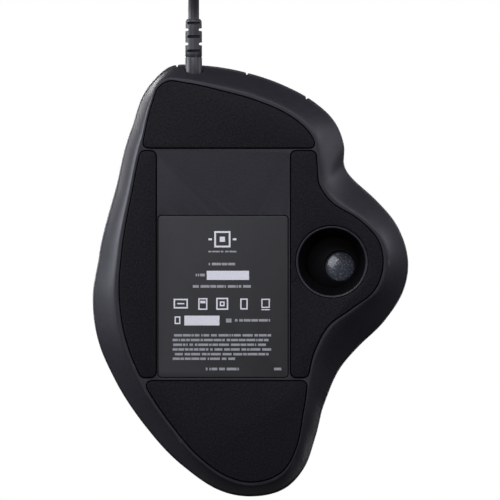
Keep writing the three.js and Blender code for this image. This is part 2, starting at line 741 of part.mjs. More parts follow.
const microTop = board.top + touchGap + microswitch.height + microswitch.proud;
for (const spot of buttonSwitches) {
  place(`${spot.name}_button`, button(`${spot.name}_button`, spot, microTop), buttonPlastic);
  place(`${spot.name}_switch`, microswitchBody(spot), componentBlack);
  place(`${spot.name}_switch_plunger`, microswitchPlunger(spot), plungerRed);
}
for (const spot of tactSwitches) {
  const plungerTop = spot.floor + touchGap + tactSwitch.height + tactSwitch.proud;
  if (spot.post) {
    place(`${spot.name}_button`, button(`${spot.name}_button`, spot, plungerTop), buttonPlastic);
  }
  place(`${spot.name}_switch`, tactBody(spot), componentBlack);
  place(`${spot.name}_switch_plunger`, tactPlunger(spot), plungerRed);
}

for (const [name, foot] of Object.entries(footCells(0, padThickness))) {
  place(name, foot, footRubber);
}
const labelPlate = box([label.left, label.rear, label.bottom], [label.right, label.front, label.top]);
place("label_plate", labelPlate, labelFilm);

place("trackball", sphere(ballCentre, ballRadius, 28), ballResin);
place("ball_cup", ballCup(), cupPlastic);
supportTurns.forEach((turn, i) => {
  place(`support_holder_${i + 1}`, supportHolder(turn), hubPlastic);
  place(`support_ball_${i + 1}`, supportBall(turn), ruby);
});
place("sensor_lens", sensorPiece(21.4, 22.8, 3.2), lensPlastic);
place("sensor_chip", sensorPiece(23.1, 25, 4.2), componentBlack);
place("sensor_board", sensorPiece(25.3, 26.5, 6), circuitGreen);

place("main_board", mainBoard(), circuitGreen);
place("side_board", prism(sideBoardPoints, sideBoard.bottom, sideBoard.top), circuitGreen);
place("controller_chip", box([14, 18, board.top + touchGap], [21, 25, board.top + 1.6]), componentBlack);
place("cable_socket", box([18.6, 40, board.top + touchGap], [22.6, 47.5, board.top + 5]), contactPlastic);
place("cable_loom", tubeAlong(loomRoute, 1.2, 8), cableJacket);

place("wheel_tyre", wheelTyre(), tyreRubber);
place("wheel_hub", wheelHub(), hubPlastic);
place("wheel_axle", wheelDisc(wheel.axleRadius, -7.4, 11.2, 16), steel);
place("wheel_carriage", wheelCarriage(), hubPlastic);
place("wheel_encoder", box([8.5, 40.5, 13.6], [11.4, 47.5, 22]).subtract(
  wheelDisc(wheel.axleRadius + touchGap, 8, 12, 16)), componentBlack);

caseScrews.forEach((spot, i) => place(`case_screw_${i + 1}`, caseScrew(spot), steel));
cupScrews.forEach((spot, i) => place(`cup_screw_${i + 1}`, cupScrew(spot), steel));

place("strain_relief", ringedRelief(), cableJacket);
place("cable", tubeAlong(cableRoute, cableRadius, 12), cableJacket);
place("cable_coil", coilRing(), cableJacket);
place("cable_tail", tubeAlong(tailRoute, cableRadius, 14), cableJacket);
place("cable_tie", coilTie(), tyreRubber);
place("plug_body", plugBody(), cableJacket);
place("plug_shell", plugShell(), steel);
place("plug_tongue", plugTongue(), contactPlastic);

export default group;
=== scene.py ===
import json
import math

import bmesh
import bpy
import numpy as np
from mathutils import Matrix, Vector
from mathutils.geometry import delaunay_2d_cdt
from mathutils.kdtree import KDTree


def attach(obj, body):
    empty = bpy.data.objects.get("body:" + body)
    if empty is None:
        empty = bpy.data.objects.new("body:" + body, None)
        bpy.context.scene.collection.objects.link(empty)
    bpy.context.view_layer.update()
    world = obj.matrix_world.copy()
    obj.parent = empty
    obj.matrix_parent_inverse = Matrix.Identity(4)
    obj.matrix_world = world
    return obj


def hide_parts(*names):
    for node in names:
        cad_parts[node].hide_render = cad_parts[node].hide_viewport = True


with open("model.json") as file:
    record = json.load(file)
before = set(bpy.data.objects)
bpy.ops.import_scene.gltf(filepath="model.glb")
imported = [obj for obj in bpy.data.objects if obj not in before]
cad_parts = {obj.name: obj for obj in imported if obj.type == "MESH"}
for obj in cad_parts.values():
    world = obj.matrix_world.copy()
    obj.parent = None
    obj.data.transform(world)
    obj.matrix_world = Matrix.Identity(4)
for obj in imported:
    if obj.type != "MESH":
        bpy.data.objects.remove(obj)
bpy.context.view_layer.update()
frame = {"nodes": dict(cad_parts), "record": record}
nodes = frame["nodes"]
MM = 0.001
TURN = 2 * math.pi

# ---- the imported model's own dimensions, repeated here ----

HUB_X = 3.0
BASE_FLOOR, FLOOR_INSIDE, RIM = 0.6, 2.8, 11.0
SKIRT, BUTTON_BOTTOM, SHOULDER = 11.35, 12.4, 14.0
RIM_INSET, FLAT_MARGIN, WALL_POWER, BASE_WALL = 0.7, 1.2, 0.66, 2.5
COVER_WALL, BUTTON_WALL, DOME_POWER = 2.2, 1.6, 2.4
CROWN = (2.0, -10.0, 49.6)
EDGE_HEIGHT = 17.0
BALL = np.array([-27.5, 4.5, 26.5])
BALL_RADIUS = 18.0
OPENING_RADIUS = 17.7
OPENING_AXIS = np.array([-0.5, 0.05, 0.86])
FINGER_HOLE = (-25.0, 5.7)
WHEEL = np.array([1.1, 44.0, 19.6])
RELIEF = (17.6, 7.2)
CABLE_DIAMETER = 3.4
COIL_CENTRE = (-4.35, 120.0)
PLUG = (151.5, 4.4)
LABEL_LOW, LABEL_HIGH = (-11.4, -29.7), (28.4, 19.9)
PAD_EDGES = {
    "front": 40.9, "side_front": 39.8, "right": 29.2, "left": -12.45, "side_rear": -29.7, "rear": -31.0,
}
CASE_SCREWS = ((27, 47), (33.5, 0), (15, -46), (-6, -49))
CUP_SCREWS = ((-7.5, 18), (-12.5, -15))

SILHOUETTE = [
    (24, 66.6), (16, 66.7), (2, 64.6), (-10, 60.6), (-20, 55.1), (-26, 49.3), (-29, 41.8), (-29, 35.8),
    (-32, 31.2), (-38.5, 25.3), (-45.5, 16.8), (-48.8, 6.5), (-47.6, -2.6), (-42, -12), (-33.5, -20.5),
    (-27, -28.5), (-22.6, -39), (-20, -49), (-16.6, -58.2), (-10.5, -64.6), (-1, -67), (9, -65.4),
    (21, -57.6), (33, -44.8), (42, -31), (47.2, -19), (49, -5.5), (47, 8), (42, 28), (37, 47),
    (33.4, 57.4), (28.4, 63.8),
]
FEET = [
    (25, 61.2), (20, 60.6), (9, 58.2), (-2, 55.1), (-10.5, 51.4), (-16.5, 47), (-19.6, 42.2),
    (-20.2, 36), (-20.9, 29.5), (-25.5, 23.4), (-34, 18), (-39.2, 12), (-40.5, 4.5), (-37.8, -3),
    (-31, -8.4), (-24, -13.6), (-19.6, -21.4), (-17.6, -29.5), (-16, -40.5), (-13.6, -52),
    (-9.4, -58.8), (-1, -61.8), (7, -60.1), (15.5, -54.2), (24.5, -43.8), (32, -32.6),
    (37.6, -20), (40.2, -5), (39.3, 10), (36.5, 26), (33.1, 42), (30.2, 54), (28.4, 59),
]
LEFT_BUTTON = [
    (0.9, 9.5), (0.9, 80), (-17.3, 80), (-17.3, 57), (-17, 44), (-15.8, 30), (-13, 20.5), (-9.5, 14.2),
    (-5, 10.8),
]
RIGHT_BUTTON = [
    (1.3, 9.5), (7, 8.8), (12.5, 9.8), (17, 13), (20.4, 20), (22.2, 30), (22.8, 45), (22.5, 80),
    (1.3, 80),
]
FORWARD_BUTTON = [(-17.5, 43.9), (-17.7, 52), (-20.8, 49.8), (-23.9, 46.6), (-24.7, 44.5)]
BACK_BUTTON = [(-16.3, 31.5), (-17.4, 43.5), (-24.9, 44.1), (-26.6, 40.5), (-27, 36.8)]


# ---- outlines in plan ----

def radius_curve(points):
    """Distance from the hub as a smooth periodic function of the angle, through an outline's points."""
    across = np.array([x - HUB_X for x, y in points], float)
    along = np.array([y for x, y in points], float)
    order = np.argsort(np.arctan2(along, across))
    angle = np.arctan2(along, across)[order]
    radius = np.hypot(across, along)[order]
    first = angle[0]
    angle = np.concatenate([angle[-2:] - TURN, angle, angle[:3] + TURN])
    radius = np.concatenate([radius[-2:], radius, radius[:3]])
    slope = np.zeros(len(angle))
    slope[1:-1] = (radius[2:] - radius[:-2]) / (angle[2:] - angle[:-2])

    def at(any_angle):
        a = np.mod(np.asarray(any_angle, float) - first, TURN) + first
        k = np.clip(np.searchsorted(angle, a, side="right") - 1, 1, len(angle) - 3)
        span = angle[k + 1] - angle[k]
        t = (a - angle[k]) / span
        ends = radius[k] * (1 + 2 * t) * (1 - t) ** 2 + radius[k + 1] * t * t * (3 - 2 * t)
        return ends + span * (slope[k] * t * (1 - t) ** 2 - slope[k + 1] * t * t * (1 - t))

    return at


silhouette = radius_curve(SILHOUETTE)
feet_edge = radius_curve(FEET)


def circle(x, y, radius, count):
    a = np.arange(count) * TURN / count
    return np.stack([x + radius * np.cos(a), y + radius * np.sin(a)], 1)


def around(radius_at, count):
    a = np.arange(count) * TURN / count
    r = radius_at(a)
    return np.stack([HUB_X + r * np.cos(a), r * np.sin(a)], 1)


def resample(points, step):
    """Even steps along a closed outline that keep its corners."""
    points = np.asarray(points, float)
    out = []
    for start, end in zip(points, np.roll(points, -1, 0)):
        count = max(1, int(math.ceil(np.linalg.norm(end - start) / step)))
        for k in range(count):
            out.append(start + (end - start) * k / count)
    return np.array(out)


def clip(points, axis, limit, keep_above):
    """The part of a closed outline on one side of a straight line across it."""
    out = []
    sign = 1 if keep_above else -1
    for start, end in zip(points, np.roll(points, -1, 0)):
        a, b = sign * (start[axis] - limit), sign * (end[axis] - limit)
        if a >= 0:
            out.append(start)
        if a * b < 0:
            out.append(start + (end - start) * a / (a - b))
    return np.array(out)


def walked(points, start, distance, step):
    """The point at a distance along a closed outline from one of its corners, and the corners passed."""
    count = len(points)
    here, k, passed = points[start], start, []
    while True:
        ahead = points[(k + step) % count]
        gap = np.linalg.norm(ahead - here)
        if gap >= distance:
            return here + (ahead - here) * distance / gap, passed
        distance -= gap
        k = (k + step) % count
        passed.append(k)
        here = ahead


def round_corners(points, radius, least=0.4):
    """Rounds each sharp corner of a closed outline; its smooth stretches stay."""
    points = np.asarray(points, float)
    before = points - np.roll(points, 1, 0)
    after = np.roll(points, -1, 0) - points
    crossed = before[:, 0] * after[:, 1] - before[:, 1] * after[:, 0]
    turn = np.arctan2(crossed, (before * after).sum(1))
    arcs, dropped = {}, set()
    for i in np.flatnonzero(np.abs(turn) > least):
        reach = radius * math.tan(min(abs(turn[i]), 2.6) / 2)
        back, passed = walked(points, i, reach, -1)
        dropped.update(passed)
        front, passed = walked(points, i, reach, 1)
        dropped.update(passed)
        t = np.linspace(0, 1, 9)[:, None]
        arcs[i] = back * (1 - t) ** 2 + 2 * points[i] * t * (1 - t) + front * t * t
    out = []
    for i, point in enumerate(points):
        if i in arcs:
            out.extend(arcs[i])
        elif i not in dropped:
            out.append(point)
    return np.array(out)


def grow(points, distance):
    """Moves a closed anticlockwise outline outwards."""
    before = points - np.roll(points, 1, 0)
    after = np.roll(points, -1, 0) - points
    tiny = 1e-9
    before = before / np.maximum(np.linalg.norm(before, axis=1), tiny)[:, None]
    after = after / np.maximum(np.linalg.norm(after, axis=1), tiny)[:, None]
    first = np.stack([before[:, 1], -before[:, 0]], 1)
    second = np.stack([after[:, 1], -after[:, 0]], 1)
    share = np.maximum(1 + (first * second).sum(1), 0.4)
    return points + (first + second) * (distance / share)[:, None]


def smooth_run(points, first, last):
    """Replaces the corners from first to last of an outline with a smooth curve through them."""
    steps = 10
    run = np.array(points[first:last + 1], float)
    ends = np.vstack([2 * run[0] - run[1], run, 2 * run[-1] - run[-2]])
    curve = []
    for k in range(1, len(ends) - 2):
        a, b, c, d = ends[k - 1:k + 3]
        for t in np.arange(steps) / steps:
            curve.append(0.5 * (2 * b + (c - a) * t + (2 * a - 5 * b + 4 * c - d) * t * t
                                + (3 * b - a - 3 * c + d) * t ** 3))
    curve.append(run[-1])
    return np.vstack([np.array(points[:first], float).reshape(-1, 2), curve,
                      np.array(points[last + 1:], float).reshape(-1, 2)])


def inside(outline, x, y):
    """Which points lie inside a closed outline."""
    result = np.zeros(len(x), bool)
    for (x0, y0), (x1, y1) in zip(outline, np.roll(outline, -1, 0)):
        if y0 == y1:
            continue
        crosses = ((y0 > y) != (y1 > y)) & (x < (x1 - x0) * (y - y0) / (y1 - y0) + x0)
        result ^= crosses
    return result


# ---- meshes ----

def mesh_object(name, vertices, faces, smooth_angle=32.0):
    """A mesh object from points in millimetres, smooth except across sharp edges."""
    mesh = bpy.data.meshes.new(name)
    mesh.from_pydata((np.asarray(vertices, float) * MM).tolist(), [], faces)
    mesh.validate()
    obj = bpy.data.objects.new(name, mesh)
    bpy.context.scene.collection.objects.link(obj)
    shade(obj, smooth_angle)
    return obj


def shade(obj, smooth_angle):
    mesh = obj.data
    mesh.shade_smooth()
    mesh.set_sharp_from_angle(angle=math.radians(smooth_angle))
    return obj


def face_outwards(obj, smooth_angle):
    work = bmesh.new()
    work.from_mesh(obj.data)
    bmesh.ops.recalc_face_normals(work, faces=work.faces)
    work.to_mesh(obj.data)
    work.free()
    return shade(obj, smooth_angle)


def stack(name, rings, smooth_angle=32.0):
    """A closed solid from a stack of rings of equal count, lowest first, each an array of 3-D points."""
    count = len(rings[0])
    vertices = np.vstack(rings)
    faces = [tuple(range(count))[::-1]]
    for k in range(len(rings) - 1):
        low, high = k * count, (k + 1) * count
        for i in range(count):
            j = (i + 1) % count
            faces.append((low + i, low + j, high + j, high + i))
    last = (len(rings) - 1) * count
    faces.append(tuple(range(last, last + count)))
    return mesh_object(name, vertices, faces, smooth_angle)


def level(outline, z):
    return np.column_stack([outline, np.full(len(outline), z)])


def plate(name, outline, low, high, low_round, high_round, smooth_angle=40.0):
    """An outline raised from one height to another, with rounded lower and upper edges."""
    quarter = [math.pi / 2 * k / 4 for k in range(4)]
    rings = []
    for a in quarter:
        inward = grow(outline, low_round * (math.sin(a) - 1))
        rings.append(level(inward, low + low_round * (1 - math.cos(a))))
    rings.append(level(outline, low + low_round))
    rings.append(level(outline, high - high_round))
    for a in quarter[::-1] if high_round else ():
        inward = grow(outline, high_round * (math.sin(a) - 1))
        rings.append(level(inward, high - high_round * (1 - math.cos(a))))
    return stack(name, rings, smooth_angle)


def flared_cutter(outline, surface_z, depth_z, flare):
    """The room that a recess takes out of the underside, with a rounded mouth at surface_z."""
    rings = [
        level(grow(outline, flare + 0.12), surface_z - 0.3),
        level(grow(outline, flare + 0.03), surface_z - 0.004),
    ]
    for k in range(1, 6):
        a = math.pi / 2 * k / 5
        narrower = grow(outline, flare * (1 - math.sin(a)))
        rings.append(level(narrower, surface_z + flare * (1 - math.cos(a))))
    rings.append(level(outline, depth_z))
    return stack("cutter", rings)


def axes_for(axis):
    """Two directions across an axis."""
    axis = np.asarray(axis, float) / np.linalg.norm(axis)
    helper = np.array([0.0, 0.0, 1.0]) if abs(axis[2]) < 0.9 else np.array([1.0, 0.0, 0.0])
    u = np.cross(helper, axis)
    u = u / np.linalg.norm(u)
    return axis, u, np.cross(axis, u)


def revolve(name, profile, centre=(0, 0, 0), axis=(0, 0, 1), count=96, smooth_angle=32.0, shape=None):
    """A ring or solid of revolution from a profile of (radius, distance along the axis). The profile is
    closed on itself, or runs from the axis to the axis. shape may change a row's radius with the angle."""
    axis, u, v = axes_for(axis)
    centre = np.asarray(centre, float)
    open_ends = profile[0][0] == 0 and profile[-1][0] == 0
    rows = profile[1:-1] if open_ends else profile
    a = np.arange(count) * TURN / count
    vertices, faces = [], []
    around_axis = np.cos(a)[:, None] * u + np.sin(a)[:, None] * v
    for radius, along in rows:
        r = np.broadcast_to(radius + (shape(a, radius) if shape else 0), a.shape)
        vertices.append(centre + axis * along + r[:, None] * around_axis)
    links = len(rows) - 1 if open_ends else len(rows)
    for k in range(links):
        low, high = k * count, ((k + 1) % len(rows)) * count
        for i in range(count):
            j = (i + 1) % count
            faces.append((low + i, low + j, high + j, high + i))
    vertices = np.vstack(vertices)
    if open_ends:
        vertices = np.vstack([vertices, centre + axis * profile[0][1], centre + axis * profile[-1][1]])
        foot, head, last = len(vertices) - 2, len(vertices) - 1, (len(rows) - 1) * count
        for i in range(count):
            j = (i + 1) % count
            faces.append((foot, j, i))
            faces.append((head, last + i, last + j))
    return face_outwards(mesh_object(name, vertices, faces, smooth_angle), smooth_angle)


def rounded_box(name, low, high, radius, steps):
    work = bmesh.new()
    bmesh.ops.create_cube(work, size=1)
    for vertex in work.verts:
        for axis in range(3):
            vertex.co[axis] = high[axis] if vertex.co[axis] > 0 else low[axis]
    bmesh.ops.bevel(work, geom=work.edges, offset=radius, segments=steps, profile=0.5, affect="EDGES")
    vertices = [tuple(vertex.co) for vertex in work.verts]
    faces = [tuple(vertex.index for vertex in face.verts) for face in work.faces]
    work.free()
    return mesh_object(name, vertices, faces, 35)


def apply_modifiers(obj):
    graph = bpy.context.evaluated_depsgraph_get()
    mesh = bpy.data.meshes.new_from_object(obj.evaluated_get(graph))
    old = obj.data
    obj.modifiers.clear()
    obj.data = mesh
    bpy.data.meshes.remove(old)


def combine(obj, operation, tools, smooth_angle=32.0):
    """Joins tools to obj, or cuts them out of it, and removes them."""
    for tool in tools:
        modifier = obj.modifiers.new("boolean", "BOOLEAN")
        modifier.operation = operation
        modifier.object = tool
        modifier.solver = "MANIFOLD"
    bpy.context.view_layer.update()
    apply_modifiers(obj)
    for tool in tools:
        bpy.data.objects.remove(tool)
    return shade(obj, smooth_angle)


def join(obj, others):
    """Puts separate closed shells into one piece."""
    work = bmesh.new()
    for part in [obj, *others]:
        work.from_mesh(part.data)
    work.to_mesh(obj.data)
    work.free()
    for part in others:
        bpy.data.objects.remove(part)
    return obj


# ---- the curved upper surface ----

def fall(distance, drop, reach):
    return drop * (np.sqrt(1 + (distance / reach) ** 2) - 1)


def plateau(x, y):
    across = np.where(x > CROWN[0], fall(x - CROWN[0], 20, 27), fall(CROWN[0] - x, 9, 12))
    along = np.where(y > CROWN[1], 32 * ((y - CROWN[1]) / 74) ** 2, 26 * ((y - CROWN[1]) / 52) ** 2)
    to_ball = np.hypot(x - BALL[0], y - BALL[1])
    above_edge = CROWN[2] - across - along + 5 * np.exp(-((to_ball / 24) ** 2)) - EDGE_HEIGHT
    return EDGE_HEIGHT + (above_edge + np.sqrt(above_edge ** 2 + 9)) / 2


SKIRT_SCALE = 44.0      # millimetres of skirt for each unit of the flat map's radius


def surface(flat):
    """Points of the upper cover from its flat map: the hub is the middle and the skirt lies outside 1."""
    dx, dy = flat[:, 0], flat[:, 1]
    angle = np.arctan2(dy, dx)
    widest = silhouette(angle)
    reach = np.hypot(dx, dy) / widest
    tilt = np.clip(1 - reach, 0, 1) * math.pi / 2
    share = np.cos(tilt) ** (2 / DOME_POWER)
    rise = np.sin(tilt) ** (2 / DOME_POWER)
    below = np.maximum(reach - 1, 0) * SKIRT_SCALE
    radius = widest * share - 0.5 * (below / (SHOULDER - SKIRT)) ** 2
    x = HUB_X + radius * np.cos(angle)
    y = radius * np.sin(angle)
    z = SHOULDER + (plateau(x, y) - SHOULDER) * rise - below
    return np.stack([x, y, z], 1)


def flat_of(points):
    """The flat map's place for points on or close to the cover."""
    x, y, z = points.T
    angle = np.arctan2(y, x - HUB_X)
    widest = silhouette(angle)
    share = np.hypot(x - HUB_X, y) / widest
    rise = np.clip((z - SHOULDER) / (plateau(x, y) - SHOULDER), 0, None)
    power = DOME_POWER / 2
    tilt = np.arctan2(rise ** power, share ** power)
    reach = np.where(z < SHOULDER, 1 + (SHOULDER - z) / SKIRT_SCALE, 1 - tilt / (math.pi / 2))
    return np.stack([widest * reach * np.cos(angle), widest * reach * np.sin(angle)], 1)


def normals_at(flat):
    step = 0.04
    east = surface(flat + [step, 0]) - surface(flat - [step, 0])
    north = surface(flat + [0, step]) - surface(flat - [0, step])
    normal = np.cross(east, north)
    return normal / np.linalg.norm(normal, axis=1)[:, None]


def cover_height(x, y):
    share = np.hypot(x - HUB_X, y) / silhouette(np.arctan2(y, x - HUB_X))
    rise = np.maximum(1 - share ** DOME_POWER, 0) ** (1 / DOME_POWER)
    return SHOULDER + (plateau(x, y) - SHOULDER) * rise


def ring_at(z, step):
    """The cover's outline at a height on its skirt, on the flat map."""
    count = int(350 / step)
    a = np.arange(count) * TURN / count
    r = silhouette(a) * (1 + (SHOULDER - z) / SKIRT_SCALE)
    return np.stack([r * np.cos(a), r * np.sin(a)], 1)


def flat_outline(plan, bottom):
    """A panel's plan outline on the flat map. Where it leaves the body it goes down the skirt to a height."""
    plan = resample(plan, 0.06)
    angle = np.arctan2(plan[:, 1], plan[:, 0] - HUB_X)
    share = np.hypot(plan[:, 0] - HUB_X, plan[:, 1]) / silhouette(angle)
    out = share >= 1
    flat = []
    lower = 1 + (SHOULDER - bottom) / SKIRT_SCALE
    start = int(np.flatnonzero(~out & np.roll(out, 1))[0]) if out.any() else 0
    order = np.roll(np.arange(len(plan)), -start)
    previous = None
    left_at = None
    tilt = np.arccos(np.clip(share, 0, 1) ** (DOME_POWER / 2))
    for i in order:
        if out[i]:
            if left_at is None:
                left_at = angle[previous]
            continue
        flat.append((angle[i], 1 - tilt[i] / (math.pi / 2)))
        previous = i
    if left_at is not None:
        back_at = angle[order[0]]
        sweep = (back_at - left_at + math.pi) % TURN - math.pi
        steps = np.linspace(0, 1, max(3, int(abs(sweep) * 60 / 0.5)))
        flat.extend((left_at, reach) for reach in np.linspace(1, lower, 5))
        flat.extend((left_at + sweep * t, lower) for t in steps[1:-1])
        flat.extend((back_at, reach) for reach in np.linspace(lower, 1, 5))
    polar = np.array(flat)
    r = silhouette(polar[:, 0]) * polar[:, 1]
    return even(np.stack([r * np.cos(polar[:, 0]), r * np.sin(polar[:, 0])], 1), 0.45)


def even(flat, step):
    """Spaces a closed flat outline evenly, by its length on the surface or the map, whichever is longer."""
    points = np.vstack([flat, flat[:1]])
    real = surface(points)
    gaps = np.linalg.norm(np.diff(real, axis=0), axis=1)
    gaps = np.maximum(gaps, np.linalg.norm(np.diff(points, axis=0), axis=1))
    along = np.concatenate([[0], np.cumsum(gaps)])
    count = max(8, int(along[-1] / step))
    at = np.arange(count) * along[-1] / count
    return np.stack([np.interp(at, along, points[:, 0]), np.interp(at, along, points[:, 1])], 1)


def panel(name, outer, holes, wall, edge, spacing=1.05, away_from=None, depth_from=0.0, steep_near=()):
    """One panel of the cover: the part of the surface inside outer and outside every hole, with a wall
    behind it and edges rounded by a fillet. Outlines are on the flat map. Inside the plans of steep_near
    the edges are nearly upright, so that a button can go down past the cover."""
    outlines = [outer, *holes]
    kept_by = [lambda p: inside(outer, p[:, 0], p[:, 1])]
    kept_by += [lambda p, hole=hole: ~inside(hole, p[:, 0], p[:, 1]) for hole in holes]

    def kept(points):
        result = np.ones(len(points), bool)
        for test in kept_by:
            result &= test(points)
        return result

    rows = [edge * (1 - math.cos(math.radians(a))) for a in (28, 52, 72, 90)] + [edge * 1.7]
    extra = []
    for outline in outlines:
        real = surface(outline)
        tangent = np.roll(real, -1, 0) - np.roll(real, 1, 0)
        tangent = tangent / np.linalg.norm(tangent, axis=1)[:, None]
        across = np.cross(normals_at(outline), tangent)
        for row in rows:
            for side in (1, -1):
                extra.append(flat_of(real + side * row * across))
    extra = np.vstack(extra)
    low, high = outer.min(0), outer.max(0)
    gx, gy = np.meshgrid(np.arange(low[0], high[0], spacing), np.arange(low[1], high[1], spacing * 0.87))
    gx[1::2] += spacing / 2
    grid = np.stack([gx.ravel(), gy.ravel()], 1)
    grid = grid[kept(grid)]
    extra = extra[kept(extra)]
    near = KDTree(sum(len(o) for o in outlines))
    for i, point in enumerate(surface(np.vstack(outlines))):
        near.insert(point, i)
    near.balance()
    far_enough = np.array([near.find(p)[2] > edge * 1.7 + 0.35 for p in surface(grid)])
    grid = grid[far_enough]
    distance = np.array([near.find(p)[2] for p in surface(extra)])
    extra = extra[distance > edge * 0.1]
    points = np.vstack([*outlines, extra, grid])
    edges, start = [], 0
    for outline in outlines:
        count = len(outline)
        edges += [(start + i, start + (i + 1) % count) for i in range(count)]
        start += count
    found = delaunay_2d_cdt([Vector(p) for p in points], edges, [], 0, 1e-5)
    flat = np.array([tuple(p) for p in found[0]])
    triangles = np.array([tuple(t) for t in found[2]])
    triangles = triangles[kept(flat[triangles].mean(1))]
    used = np.unique(triangles)
    renumber = np.full(len(flat), -1)
    renumber[used] = np.arange(len(used))
    flat, triangles = flat[used], renumber[triangles]
    directed = {}
    for a, b, c in triangles.tolist():
        directed.update(dict.fromkeys([(a, b), (b, c), (c, a)]))
    rim = [pair for pair in directed if (pair[1], pair[0]) not in directed]
    real, normal = surface(flat), normals_at(flat)
    on_rim = sorted({i for pair in rim for i in pair})
    tree = KDTree(len(rim) * 2)
    for k, (a, b) in enumerate(rim):
        tree.insert(real[a], 2 * k)
        tree.insert((real[a] + real[b]) / 2, 2 * k + 1)
    tree.balance()
    gap = np.array([tree.find(p)[2] for p in real])
    gap[on_rim] = 0
    short_of_flat = edge - np.minimum(gap, edge)
    depth = np.where(gap < edge, edge - np.sqrt(np.maximum(edge ** 2 - short_of_flat ** 2, 0)), 0)
    outside_points = real - normal * (depth[:, None] + depth_from)
    upright = np.zeros(len(real))
    for plan in steep_near:
        upright[inside(plan, real[:, 0], real[:, 1])] = 2.5
    through = normal + upright[:, None] * [0, 0, 1]
    inside_points = real - wall * through / np.linalg.norm(through, axis=1)[:, None]
    if away_from is not None:
        centre, least = away_from
        for rows_of in (outside_points, inside_points):
            offset = rows_of - centre
            length = np.linalg.norm(offset, axis=1)
            close = length < least
            rows_of[close] = centre + offset[close] * (least / length[close])[:, None]
    count = len(real)
    faces = [tuple(t) for t in triangles.tolist()]
    faces += [(c + count, b + count, a + count) for a, b, c in triangles.tolist()]
    faces += [(b, a, a + count, b + count) for a, b in rim]
    return mesh_object(name, np.vstack([outside_points, inside_points]), faces, 38)


BUTTON_PLANS = {
    "left_button": smooth_run(LEFT_BUTTON + [LEFT_BUTTON[0]], 4, 9)[:-1],
    "right_button": smooth_run(RIGHT_BUTTON, 0, 7),
    "forward_button": round_corners(np.array(FORWARD_BUTTON, float), 0.9, 0.1),
    "back_button": round_corners(np.array(BACK_BUTTON, float), 0.9, 0.1),
}


def slot_plan(half, rear, front):
    a = np.linspace(0, math.pi, 25)
    head = np.stack([WHEEL[0] + half * np.cos(a), front - half + half * np.sin(a)], 1)
    tail = np.stack([WHEEL[0] - half * np.cos(a), rear + half - half * np.sin(a)], 1)
    return np.vstack([head, tail])


def opening_outline():
    """Where the tilted rim round the ball meets the cover."""
    axis, u, v = axes_for(OPENING_AXIS)
    result = []
    for a in np.arange(300) * TURN / 300:
        line = BALL + OPENING_RADIUS * (math.cos(a) * u + math.sin(a) * v)
        low, high = -4.0, 40.0
        for _ in range(50):
            middle = (low + high) / 2
            x, y, z = line + axis * middle
            if z < cover_height(np.array([x]), np.array([y]))[0]:
                low = middle
            else:
                high = middle
        result.append(line + axis * low)
    return even(flat_of(np.array(result)), 0.45)


# ---- materials ----

